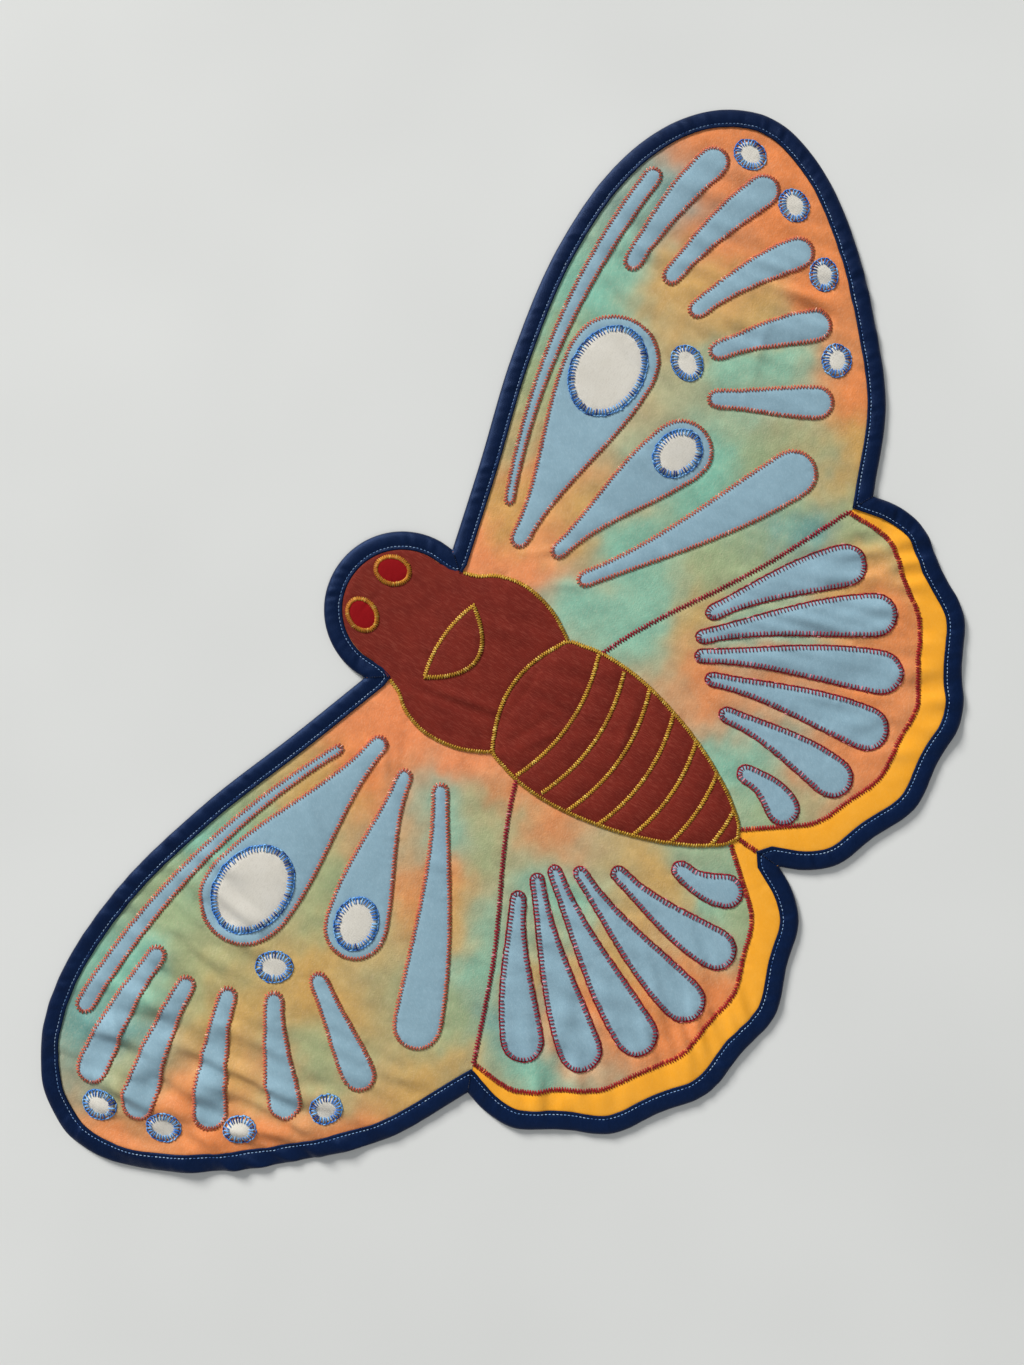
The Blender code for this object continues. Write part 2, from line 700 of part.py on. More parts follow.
def build_body() -> None:
    """Head with its eyes, thorax with its collar, and the segmented abdomen."""
    abdomen = abdomen_outline()

    def segment_puff(place: Vector) -> float:
        """How much the padding lifts the abdomen between its segment lines."""
        share = segment_share(place)
        wave = share if share > 0 else share / FRONT_SEGMENT_SHARE
        shoulder = min(1.0, distance_to_edge(place, abdomen) / SEGMENT_SHOULDER)
        return SEGMENT_PUFF * shoulder * math.sqrt(abs(math.sin(math.pi * wave)))

    sheet_piece("head", RUST_TWILL, APPLIQUE_LEVEL, BODY_THICKNESS, CELL_GRAIN, [head_outline()])
    sheet_piece("thorax", RUST_TWILL, APPLIQUE_LEVEL, BODY_THICKNESS, CELL_GRAIN, [thorax_outline()],
                puff=thorax_crown)
    sheet_piece("abdomen", RUST_TWILL, APPLIQUE_LEVEL, BODY_THICKNESS, CELL_GRAIN, [abdomen],
                inner=segment_points(abdomen), puff=segment_puff)
    sheet_piece("collar", RUST_TWILL, ON_BODY_LEVEL, APPLIQUE_THICKNESS, CELL_GRAIN, [collar_outline()],
                puff=thorax_crown)
    for side in (1, -1):
        sheet_piece(side_name(EYE.name, side), RED_COTTON, ON_BODY_LEVEL, APPLIQUE_THICKNESS,
                    CELL_GRAIN, on_side([oval_edge(EYE)], side))


EDGE_YS = [point.y for point in whole_outline()]
MIDDLE_Y = (max(EDGE_YS) + min(EDGE_YS)) / 2

clear_scene()
build_backing()
build_binding()
for side in (1, -1):
    build_panels(side)
    build_wing_appliques(side)
build_body()
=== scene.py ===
"""Looks of the moth-shaped wall quilt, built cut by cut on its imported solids.

The quilt lies flat with its head towards +Y and its wings along X. Sizes are in metres,
and a line or an edge is always seen from above.
"""
from __future__ import annotations

import logging
import math
from dataclasses import dataclass, field
from enum import Enum
from typing import Callable

import bpy
import numpy as np
from mathutils import Matrix, Vector
from mathutils.bvhtree import BVHTree
from mathutils.geometry import delaunay_2d_cdt
from mathutils.kdtree import KDTree


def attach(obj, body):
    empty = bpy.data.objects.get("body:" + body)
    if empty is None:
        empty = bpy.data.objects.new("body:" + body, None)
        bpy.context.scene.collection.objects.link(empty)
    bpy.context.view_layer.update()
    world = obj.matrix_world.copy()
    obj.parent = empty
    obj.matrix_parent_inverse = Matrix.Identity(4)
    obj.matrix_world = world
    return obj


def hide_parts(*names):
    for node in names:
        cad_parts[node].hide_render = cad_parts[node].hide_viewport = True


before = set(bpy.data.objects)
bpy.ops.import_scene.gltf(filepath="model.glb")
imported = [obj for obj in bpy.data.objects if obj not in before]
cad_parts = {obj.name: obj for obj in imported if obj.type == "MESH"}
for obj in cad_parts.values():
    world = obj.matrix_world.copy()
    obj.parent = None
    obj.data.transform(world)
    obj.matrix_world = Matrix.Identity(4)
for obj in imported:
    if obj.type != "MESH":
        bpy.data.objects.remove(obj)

LOG = logging.getLogger("quilt")
BODY = "root"
SAMPLE = 0.0008  # the usual spacing of samples along a line
EDGE_SAMPLE = 0.0006  # their spacing along the edge of a cut
SHARP_TURN = 55.0  # how many degrees a corner turns at least
SHARP_CREST = math.radians(48)  # how far two faces turn where shading breaks
FEWEST = 8  # a shorter stretch of points is left out

Colour = tuple[float, float, float]
Heights = Callable[[np.ndarray], np.ndarray]
Piece = bpy.types.Object
Material = bpy.types.Material
Socket = bpy.types.NodeSocket


def run_of(points: np.ndarray) -> np.ndarray:
    """How far along a row of points each one lies."""
    return np.concatenate(((0.0,), np.cumsum(np.linalg.norm(np.diff(points, axis=0), axis=1))))


def screen(red: float, green: float, blue: float) -> Colour:
    """The linear colour of a screen colour given from 0 to 255.

    Args:
        red: Its red.
        green: Its green.
        blue: Its blue.

    Returns:
        Red, green and blue from 0 to 1.
    """
    shares = np.array((red, green, blue)) / 255.0
    linear = np.where(shares <= 0.04045, shares / 12.92, ((shares + 0.055) / 1.055) ** 2.4)
    return tuple(float(value) for value in linear)


# ---------------------------------------------------------------- lines


@dataclass
class Line:
    """A line on the quilt.

    Args:
        points: One row (x, y) for each point; a closed line runs anticlockwise.
        closed: Whether the last point joins the first.
    """

    points: np.ndarray
    closed: bool = True

    def joined_up(self) -> np.ndarray:
        """The points, with the first one again at the end of a closed line."""
        return np.vstack((self.points, self.points[:1])) if self.closed else self.points

    def distances(self) -> np.ndarray:
        """How far along the line each point of joined_up lies."""
        return run_of(self.joined_up())

    def length(self) -> float:
        """The length of the line."""
        return float(self.distances()[-1])

    def area(self) -> float:
        """The area inside a closed line, negative if it runs clockwise."""
        x, y = self.points.T
        return float(0.5 * np.sum(x * np.roll(y, -1) - y * np.roll(x, -1)))

    def spaced(self, step: float) -> Line:
        """The same line with its points evenly spaced.

        Args:
            step: The wanted spacing, kept as nearly as the length allows.

        Returns:
            The new line.
        """
        distances, corners = self.distances(), self.joined_up()
        count = max(3, round(distances[-1] / step))
        wanted = np.linspace(0.0, distances[-1], count + 1)[:count + (not self.closed)]
        return Line(np.column_stack([np.interp(wanted, distances, c) for c in corners.T]), self.closed)

    def outward(self) -> np.ndarray:
        """Unit steps to the right of the run, which is outwards on a closed line.

        Returns:
            One step (x, y) for each point.
        """
        if self.closed:
            run = np.roll(self.points, -1, axis=0) - np.roll(self.points, 1, axis=0)
        else:
            run = np.gradient(self.points, axis=0)
        run /= np.maximum(np.linalg.norm(run, axis=1), 1e-12)[:, None]
        return np.column_stack((run[:, 1], -run[:, 0]))

    def corners(self, least: float = SHARP_TURN) -> list[int]:
        """Which points of a closed line turn by more than so many degrees.

        Args:
            least: How many degrees a corner turns at least.

        Returns:
            Where in the points they are.
        """
        arriving = self.points - np.roll(self.points, 1, axis=0)
        leaving = np.roll(self.points, -1, axis=0) - self.points
        cross = arriving[:, 0] * leaving[:, 1] - arriving[:, 1] * leaving[:, 0]
        turn = np.degrees(np.arctan2(cross, (arriving * leaving).sum(1)))
        return list(np.flatnonzero(np.abs(turn) > least))

    def runs(self, least: float = SHARP_TURN) -> list[np.ndarray]:
        """The stretches of a closed line from one corner to the next.

        Args:
            least: How many degrees a corner turns at least.

        Returns:
            The points of each stretch with both its corners, or nothing without a corner.
        """
        found = self.corners(least)
        if not found:
            return []
        doubled = np.vstack((self.points, self.points))
        ends = found[1:] + [found[0] + len(self.points)]
        return [doubled[start:end + 1] for start, end in zip(found, ends)]

    def stretches(self, chosen: np.ndarray) -> list[Line]:
        """The unbroken stretches of a closed line's chosen points.

        Args:
            chosen: Whether each point is chosen.

        Returns:
            The stretches as open lines, without the very short ones.
        """
        found = []
        for start in np.flatnonzero(chosen & ~np.roll(chosen, 1)):
            order = (start + np.arange(len(chosen))) % len(chosen)
            count = int(np.argmin(chosen[order]))
            if count > FEWEST:
                found.append(Line(self.points[order[:count]], False))
        return found

    def smoothed(self, step: float, least: float = SHARP_TURN) -> Line:
        """The soft curve through the points of a closed line, whose corners stay sharp.

        Args:
            step: The spacing of the new points.
            least: How many degrees a corner turns at least.

        Returns:
            The new line.
        """
        runs = self.runs(least)
        if not runs:
            wrapped = np.vstack((self.points[-3:], self.points, self.points[:3]))
            curve = soft_curve(wrapped, step, 3, len(self.points) + 3)
            return Line(curve[:-1])
        return Line(np.vstack([soft_curve(run, step, 0, len(run) - 1)[:-1] for run in runs]))

    def eased(self, reach: float, step: float = SAMPLE) -> Line:
        """An open line with its bends evened out over some distance and its ends kept.

        Args:
            reach: How far along it each bend is evened out.
            step: The spacing of the new points.

        Returns:
            The new line.
        """
        points = self.spaced(step).points
        sums = np.vstack((np.zeros(2), np.cumsum(points, axis=0)))
        i = np.arange(len(points))
        half = np.minimum(np.minimum(i, i[::-1]), int(reach / step))
        return Line((sums[i + half + 1] - sums[i - half]) / (2 * half + 1)[:, None], False)

    def holds(self, places: np.ndarray) -> np.ndarray:
        """Which places lie inside a closed line.

        Args:
            places: One row (x, y) for each place.

        Returns:
            Whether each place is inside.
        """
        start, end = self.points, np.roll(self.points, -1, axis=0)
        inside = np.zeros(len(places), bool)
        low, high = start.min(0), start.max(0)
        near = np.flatnonzero(((places >= low) & (places <= high)).all(1))
        for part in np.array_split(near, len(near) // 4000 + 1):
            x, y = places[part, 0][:, None], places[part, 1][:, None]
            crosses = (start[:, 1] > y) != (end[:, 1] > y)
            slope = (end[:, 0] - start[:, 0]) / np.where(end[:, 1] == start[:, 1], 1.0, end[:, 1] - start[:, 1])
            inside[part] = (crosses & (x < start[:, 0] + (y - start[:, 1]) * slope)).sum(1) % 2 == 1
        return inside


def soft_curve(points: np.ndarray, step: float, first: int, last: int) -> np.ndarray:
    """Points about one step apart on the soft curve through some of the given ones.

    Args:
        points: One row (x, y) for each point that the curve passes through.
        step: The spacing of the new points.
        first: Where in points the curve starts.
        last: Where in points it ends.

    Returns:
        The new points, with both ends of the curve.
    """
    along = run_of(points)
    headings = np.empty_like(points)
    headings[1:-1] = (points[2:] - points[:-2]) / (along[2:] - along[:-2])[:, None]
    headings[0] = (points[1] - points[0]) / (along[1] - along[0])
    headings[-1] = (points[-1] - points[-2]) / (along[-1] - along[-2])
    count = max(2, round((along[last] - along[first]) / step) + 1)
    wanted = np.linspace(along[first], along[last], count)
    k = np.clip(np.searchsorted(along, wanted, side="right") - 1, 0, len(points) - 2)
    reach = (along[k + 1] - along[k])[:, None]
    t = (wanted[:, None] - along[k][:, None]) / reach
    return ((1 + 2 * t) * (1 - t) ** 2 * points[k] + t * (1 - t) ** 2 * reach * headings[k]
            + t * t * (3 - 2 * t) * points[k + 1] + t * t * (t - 1) * reach * headings[k + 1])


def rim_of(node: str) -> Line:
    """The edge of a solid's upper side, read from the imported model.

    Args:
        node: The solid's node.

    Returns:
        Its outermost closed edge.
    """
    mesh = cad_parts[node].data
    places = {}
    merged = [places.setdefault(tuple(round(c, 5) for c in v.co), len(places)) for v in mesh.vertices]
    spots = np.array(list(places))[:, :2]
    edges = set()
    for face in mesh.polygons:
        if face.normal.z > 0.5:
            ring = [merged[i] for i in face.vertices]
            edges.update(zip(ring, ring[1:] + ring[:1]))
    following = {a: b for a, b in edges if (b, a) not in edges and a != b}
    loops = []
    while following:
        start, here = following.popitem()
        loop = [start]
        while here != start and here in following:
            loop.append(here)
            here = following.pop(here)
        loops.append(Line(spots[loop]))
    return max(loops, key=Line.area)


def opened(points: np.ndarray) -> np.ndarray:
    """The points of a closed line, started after the widest gap between them."""
    gaps = np.linalg.norm(points - np.roll(points, 1, axis=0), axis=1)
    return np.roll(points, -int(np.argmax(gaps)), axis=0)


class Nearest:
    """Finds the nearest of many samples along some lines."""

    def __init__(self, lines: list[Line], step: float = SAMPLE) -> None:
        """Take the samples.

        Args:
            lines: The lines.
            step: The spacing of the samples.
        """
        self.samples = np.vstack([line.spaced(step).points for line in lines])
        self.tree = KDTree(len(self.samples))
        for i, (x, y) in enumerate(self.samples):
            self.tree.insert((x, y, 0.0), i)
        self.tree.balance()

    def of(self, places: np.ndarray) -> tuple[np.ndarray, np.ndarray]:
        """How far each place is from the nearest sample, and which one that is."""
        found = [self.tree.find((x, y, 0.0)) for x, y in places]
        return np.array([hit[2] for hit in found]), np.array([hit[1] for hit in found])


# ---------------------------------------------------------------- how the cloth lies


def turned(steps: np.ndarray, heading: float) -> tuple[np.ndarray, np.ndarray]:
    """How far some steps go along a heading in degrees, and how far to its left."""
    cos, sin = math.cos(math.radians(heading)), math.sin(math.radians(heading))
    return steps[:, 0] * cos + steps[:, 1] * sin, steps[:, 1] * cos - steps[:, 0] * sin


@dataclass(frozen=True)
class Fold:
    """A soft ridge, or a trough where its height is negative.

    Args:
        x: Place of its middle.
        y: Place of its middle.
        heading: Degrees from +X along it.
        half_length: How far along it fades.
        half_width: How far across it fades.
        height: How far it lifts the cloth.
        bow: How strongly it bends.
    """

    x: float
    y: float
    heading: float
    half_length: float
    half_width: float
    height: float
    bow: float = 0.0

    def lift(self, places: np.ndarray) -> np.ndarray:
        """How far it lifts the cloth at some places.

        Args:
            places: One row (x, y) for each place.

        Returns:
            The lift at each place.
        """
        along, across = turned(places - (self.x, self.y), self.heading)
        across -= self.bow * along ** 2
        return self.height * np.exp(-(along / self.half_length) ** 2 - (across / self.half_width) ** 2)


# The solids' own folds: x, y, heading, half length, half width and height
SOLID_FOLDS = tuple(Fold(*row) for row in (
    (-0.330, 0.1155, 62.0, 0.060, 0.021, 0.0020), (-0.372, 0.1155, 70.0, 0.045, 0.019, 0.0014),
    (-0.285, 0.0705, 55.0, 0.060, 0.022, 0.0018), (-0.245, 0.0255, 40.0, 0.050, 0.022, 0.0012),
    (-0.180, 0.1255, 15.0, 0.070, 0.026, 0.0012), (0.300, 0.0855, -35.0, 0.060, 0.024, 0.0014),
    (0.345, 0.1555, -70.0, 0.045, 0.022, 0.0012), (0.190, 0.0855, -10.0, 0.080, 0.028, 0.0014),
    (0.140, -0.0845, -50.0, 0.070, 0.026, 0.0012), (-0.120, -0.0945, 230.0, 0.070, 0.026, 0.0014),
))

# Finer ridges and troughs, most of them across the left forewing; the last number bends one
CREASES = tuple(Fold(*row) for row in (
    (-0.350, 0.146, 104.0, 0.030, 0.0052, 0.0030, 4.0), (-0.362, 0.136, 100.0, 0.034, 0.0046, -0.0022, 3.0),
    (-0.378, 0.128, 98.0, 0.030, 0.0052, 0.0027, 2.0), (-0.334, 0.150, 108.0, 0.028, 0.0055, -0.0022, 5.0),
    (-0.318, 0.150, 100.0, 0.030, 0.0050, 0.0022, 3.0), (-0.300, 0.152, 96.0, 0.024, 0.0050, -0.0015, 3.0),
    (-0.394, 0.104, 106.0, 0.028, 0.0048, -0.0022, 2.0), (-0.404, 0.092, 112.0, 0.024, 0.0050, 0.0024, -2.0),
    (-0.350, 0.098, 96.0, 0.034, 0.0060, 0.0019, -3.0), (-0.374, 0.072, 110.0, 0.032, 0.0055, 0.0022, 3.0),
    (-0.364, 0.060, 114.0, 0.028, 0.0050, -0.0019, 3.0), (-0.350, 0.036, 120.0, 0.026, 0.0050, 0.0022),
    (-0.262, 0.158, 92.0, 0.020, 0.0048, 0.0015, 4.0), (-0.246, 0.152, 88.0, 0.020, 0.0045, -0.0012, 4.0),
    (-0.214, 0.154, 96.0, 0.018, 0.0048, 0.0015, 3.0), (-0.150, 0.128, 60.0, 0.022, 0.0045, 0.0009, 2.0),
    (-0.092, 0.106, 40.0, 0.018, 0.0035, 0.0009), (-0.084, 0.096, 30.0, 0.018, 0.0035, -0.0006),
    (-0.128, 0.030, 105.0, 0.020, 0.0045, 0.0009), (-0.300, 0.018, 118.0, 0.026, 0.0050, -0.0016),
    (-0.322, 0.004, 124.0, 0.022, 0.0050, 0.0019), (-0.262, -0.026, 112.0, 0.020, 0.0050, 0.0015),
    (0.078, 0.070, 120.0, 0.016, 0.0035, 0.0010), (0.090, 0.094, 130.0, 0.018, 0.0035, 0.0009),
    (0.354, 0.150, 104.0, 0.030, 0.0060, 0.0010), (0.384, 0.124, 110.0, 0.030, 0.0060, 0.0010),
    (0.300, 0.158, 78.0, 0.020, 0.0045, 0.0010), (0.284, 0.160, 72.0, 0.020, 0.0042, -0.0009),
    (0.334, 0.052, 98.0, 0.016, 0.0034, 0.0013), (0.342, 0.066, 90.0, 0.014, 0.0032, 0.0011),
    (0.286, 0.052, 20.0, 0.022, 0.0038, 0.0009), (0.210, 0.078, 82.0, 0.050, 0.0120, 0.0015),
    (0.180, 0.064, 96.0, 0.040, 0.0070, 0.0010), (0.120, 0.074, 92.0, 0.028, 0.0055, 0.0008),
    (0.014, -0.020, 15.0, 0.030, 0.0030, 0.0006, 1.0), (-0.014, 0.022, 150.0, 0.026, 0.0030, 0.0006),
    (-0.020, 0.036, 155.0, 0.024, 0.0028, -0.0005), (0.012, 0.060, 100.0, 0.020, 0.0040, 0.0006),
    (0.026, 0.100, 96.0, 0.026, 0.0045, 0.0008), (-0.033, 0.088, 104.0, 0.034, 0.0034, -0.0010),
    (-0.027, 0.084, 106.0, 0.032, 0.0034, 0.0009), (-0.040, 0.094, 100.0, 0.024, 0.0034, 0.0008),
    (0.004, 0.030, 98.0, 0.030, 0.0040, -0.0008), (0.010, 0.028, 98.0, 0.030, 0.0036, 0.0006),
    (-0.344, 0.157, 63.0, 0.024, 0.0046, 0.0022, 2.0), (-0.268, 0.156, 106.0, 0.022, 0.0044, 0.0019, -2.0),
    (-0.376, 0.157, 94.0, 0.026, 0.0046, 0.0020, 2.0), (-0.369, 0.082, 84.0, 0.026, 0.0042, 0.0026, 3.0),
    (-0.378, 0.038, 84.0, 0.024, 0.0042, 0.0023, 2.0), (-0.340, -0.011, 57.0, 0.020, 0.0044, 0.0019),
    (-0.284, 0.166, 91.0, 0.022, 0.0046, 0.0019, -2.0), (-0.232, 0.132, 84.0, 0.022, 0.0050, 0.0016),
))


def waves(distance: np.ndarray, lengths: tuple[float, ...], seed: int) -> np.ndarray:
    """An uneven wave along a line, mostly between -1 and 1, from waves of some lengths.

    Args:
        distance: How far along the line each place is.
        lengths: The lengths of the waves.
        seed: Which pattern of them.

    Returns:
        The wave at each place.
    """
    phases = np.random.default_rng(seed).uniform(0.0, math.tau, len(lengths))
    total = sum(np.sin(math.tau * distance / length + phase) for length, phase in zip(lengths, phases))
    return total / math.sqrt(len(lengths))


@dataclass(frozen=True)
class Clouds:
    """Soft uneven patches, mostly between -1 and 1.

    Args:
        size: The size of a patch.
        seed: Which pattern of them.
    """

    size: float
    seed: int

    def at(self, places: np.ndarray) -> np.ndarray:
        """Their strength at some places.

        Args:
            places: One row (x, y) for each place.

        Returns:
            The strength at each place.
        """
        chance = np.random.default_rng(self.seed)
        total = np.zeros(len(places))
        for _ in range(9):
            angle, phase = chance.uniform(0.0, math.tau, 2)
            pace = math.tau / (2 * self.size * chance.uniform(0.6, 1.7))
            total += np.sin(pace * (places @ (math.cos(angle), math.sin(angle))) + phase)
        return total / 3.0


DRAWN_OUT = 0.30  # how wide a ripple is for its length


@dataclass(frozen=True)
class Crumple:
    """A patch of uneven soft ripples.

    Args:
        x: Place of its middle.
        y: Place of its middle.
        reach: How far out it fades.
        heading: Degrees from +X along the ripples.
        height: How far they lift the cloth.
        size: The width of a ripple.
        seed: Which pattern of them.
    """

    x: float
    y: float
    reach: float
    heading: float
    height: float
    size: float
    seed: int

    def lift(self, places: np.ndarray) -> np.ndarray:
        """How far it lifts the cloth at some places.

        Args:
            places: One row (x, y) for each place.

        Returns:
            The lift at each place.
        """
        steps = places - (self.x, self.y)
        along, across = turned(steps, self.heading)
        ripples = Clouds(self.size, self.seed).at(np.column_stack((DRAWN_OUT * along, across)))
        return self.height * ripples * np.exp(-(steps[:, 0] ** 2 + steps[:, 1] ** 2) / self.reach ** 2)


# x, y, reach, heading, height, size and seed
CRUMPLES = tuple(Crumple(*row) for row in (
    (-0.362, 0.112, 0.074, 98.0, 0.00200, 0.0090, 41), (-0.335, 0.030, 0.066, 100.0, 0.00190, 0.0090, 42),
    (-0.270, 0.150, 0.055, 92.0, 0.00150, 0.0085, 43), (-0.090, 0.090, 0.045, 70.0, 0.00034, 0.0055, 44),
    (0.310, 0.145, 0.075, 102.0, 0.00080, 0.0085, 45), (0.330, 0.050, 0.065, 96.0, 0.00080, 0.0080, 46),
    (0.120, 0.080, 0.060, 96.0, 0.00040, 0.0070, 47), (0.140, -0.080, 0.070, 110.0, 0.00064, 0.0080, 48),
    (-0.130, -0.080, 0.070, 96.0, 0.00070, 0.0080, 49), (0.215, -0.100, 0.045, 140.0, 0.00110, 0.0080, 51),
    (0.140, -0.165, 0.045, 120.0, 0.00130, 0.0080, 52), (-0.200, -0.110, 0.045, 40.0, 0.00120, 0.0080, 53),
    (-0.120, -0.165, 0.045, 50.0, 0.00140, 0.0080, 54), (0.0, 0.050, 0.090, 100.0, 0.00030, 0.0090, 50),
))


@dataclass
class Lie:
    """How the whole quilt lies: its folds, its creases and the pull of its stitches.

    Args:
        stitched: The lines where stitches pull the cloth down.
    """

    stitched: list[Line]
    press: float = 0.00032
    press_reach: float = 0.0024
    swell: float = 0.00022
    swell_reach: float = 0.0100
    pucker: float = 0.00022
    pucker_reach: float = 0.0055
    pucker_start: float = 0.0015
    pucker_lengths: tuple[float, ...] = (0.0097, 0.0061, 0.0153)
    gate_lengths: tuple[float, ...] = (0.083, 0.051)
    lowest: float = -0.0009
    landing: float = 0.00025
    nearest: Nearest = field(init=False)
    puckers: np.ndarray = field(init=False)

    def __post_init__(self) -> None:
        """Sample the stitched lines."""
        self.nearest = Nearest(self.stitched)
        parts = []
        for i, line in enumerate(self.stitched):
            run = run_of(line.spaced(SAMPLE).points)
            gate = 0.6 + 0.4 * waves(run, self.gate_lengths, 100 + i)
            parts.append(gate * waves(run, self.pucker_lengths, 200 + i))
        self.puckers = np.concatenate(parts)

    def lift(self, places: np.ndarray) -> np.ndarray:
        """How far the cloth lies above where it was laid flat, at some places.

        Args:
            places: One row (x, y) for each place.

        Returns:
            The lift at each place.
        """
        total = sum(fold.lift(places) for fold in SOLID_FOLDS + CREASES + CRUMPLES)
        away, which = self.nearest.of(places)
        total = self.lowest + self.landing * np.logaddexp(0.0, (total - self.lowest) / self.landing)
        total += self.swell * (1.0 - np.exp(-(away / self.swell_reach) ** 2))
        total -= self.press * np.exp(-(away / self.press_reach) ** 2)
        fading = np.exp(-away / self.pucker_reach) * np.minimum(1.0, away / self.pucker_start)
        return total + self.pucker * self.puckers[which] * fading


# ---------------------------------------------------------------- finishes


class Weave(Enum):
    """How a cloth is woven, as seen from close by."""

    PLAIN = "plain"
    TWILL = "twill"
    NAP = "nap"
    SATEEN = "sateen"


@dataclass
class Bench:
    """Lays out the nodes of one material.

    Args:
        name: The material's name.
    """

    name: str
    material: Material = field(init=False)
    tree: bpy.types.NodeTree = field(init=False)
    shader: bpy.types.Node = field(init=False)

    def __post_init__(self) -> None:
        """Start the material."""
        self.material = bpy.data.materials.new(self.name)
        self.material.use_nodes = True
        self.tree = self.material.node_tree
        self.shader = self.tree.nodes["Principled BSDF"]

    def add(self, kind: str, settings: dict | None = None, inputs: dict | None = None) -> bpy.types.Node:
        """Add a node.

        Args:
            kind: Its type, without the leading ShaderNode.
            settings: Its properties.
            inputs: Numbers, colours or sockets for its inputs, by name or place.

        Returns:
            The node.
        """
        node = self.tree.nodes.new("ShaderNode" + kind)
        for key, value in (settings or {}).items():
            setattr(node, key, value)
        for key, value in (inputs or {}).items():
            if isinstance(value, Socket):
                self.tree.links.new(value, node.inputs[key])
            else:
                node.inputs[key].default_value = value
        return node

    def place(self, turn: float = 0.0, stretch: float = 1.0) -> Socket:
        """The place on the quilt, turned by some degrees and drawn out along its own X.

        Args:
            turn: Degrees from +X to its own X.
            stretch: How far it is drawn out.

        Returns:
            The socket of the place.
        """
        spot = self.add("TexCoord").outputs["Object"]
        return self.add("Mapping", {"vector_type": "TEXTURE"},
                        {"Vector": spot, "Rotation": (0.0, 0.0, math.radians(turn)),
                         "Scale": (stretch, 1.0, 1.0)}).outputs[0]

    def noise(self, place: Socket, size: float, detail: float = 2.0) -> Socket:
        """Uneven patches of some size, from 0 to 1.

        Args:
            place: The socket of the place.
            size: The size of a patch.
            detail: How many finer sizes it is made of.

        Returns:
            The socket of their strength.
        """
        node = self.add("TexNoise", {"noise_dimensions": "3D"},
                        {"Vector": place, "Scale": 1.0 / size, "Detail": detail, "Roughness": 0.64})
        return node.outputs["Fac"]

    def ribs(self, place: Socket, pitch: float, across: str = "X", uneven: float = 0.0) -> Socket:
        """Soft ribs of some pitch, from 0 to 1.

        Args:
            place: The socket of the place.
            pitch: From one rib to the next.
            across: The axis that crosses them.
            uneven: How far they waver.

        Returns:
            The socket of their height.
        """
        node = self.add("TexWave", {"bands_direction": across},
                        {"Vector": place, "Scale": math.tau / (20.0 * pitch), "Distortion": uneven,
                         "Detail": 1.0, "Detail Scale": 0.6})
        return node.outputs["Fac"]

    def spread(self, value: Socket, low: float, high: float, start: float = 0.0, end: float = 1.0) -> Socket:
        """A value taken from between two limits to between two others.

        Args:
            value: The socket of the value.
            low: Its lower limit.
            high: Its upper limit.
            start: What the lower limit becomes.
            end: What the upper limit becomes.

        Returns:
            The socket of the new value.
        """
        node = self.add("MapRange", {"clamp": True}, {"Value": value, "From Min": low, "From Max": high,
                                                      "To Min": start, "To Max": end})
        return node.outputs[0]

    def sum(self, kind: str, first: object, second: object) -> Socket:
        """Two values joined by a sum of some kind, such as ADD or MULTIPLY."""
        return self.add("Math", {"operation": kind}, {0: first, 1: second}).outputs[0]

    def mix(self, share: object, first: object, second: object, kind: str = "MIX") -> Socket:
        """Two colours mixed by a share from 0 to 1.

        Args:
            share: How much there is of the second colour.
            first: The first colour.
            second: The second colour.
            kind: How they are mixed.

        Returns:
            The socket of the colour.
        """
        node = self.add("Mix", {"data_type": "RGBA", "blend_type": kind}, {0: share})
        for socket, value in ((node.inputs[6], first), (node.inputs[7], second)):
            if isinstance(value, Socket):
                self.tree.links.new(value, socket)
            else:
                socket.default_value = (*value, 1.0)
        return node.outputs[2]

    def finish(self, colour: Socket, height: Socket, relief: float, **constants: float | tuple) -> Material:
        """Join a colour and a height to the shader.

        Args:
            colour: The colour socket.
            height: The height of the surface, from 0 to 1.
            relief: The depth that the height stands for.
            constants: The shader's own values, with underscores for spaces.

        Returns:
            The material.
        """
        self.tree.links.new(colour, self.shader.inputs["Base Color"])
        bump = self.add("Bump", {}, {"Height": height, "Distance": relief, "Strength": 1.0})
        self.tree.links.new(bump.outputs[0], self.shader.inputs["Normal"])
        for key, value in constants.items():
            self.shader.inputs[key.replace("_", " ")].default_value = value
        return self.material


PATCH_SIZE = 0.014
FIBRE_SIZE = 0.0009
NAP_SIZE = 0.0032
USUAL_STRETCH = 3.2  # how much longer than wide a fleck is
TWILL_STRETCH = 11.0  # the same in twill
TWILL_TURN = 68.0  # from the threads to the ribs, in degrees
TWILL_WIDTH = 1.7  # of a rib, in threads
LOWEST_PAINTED_SHADE = 0.86  # how dark the colour is painted between the threads, as painted shade
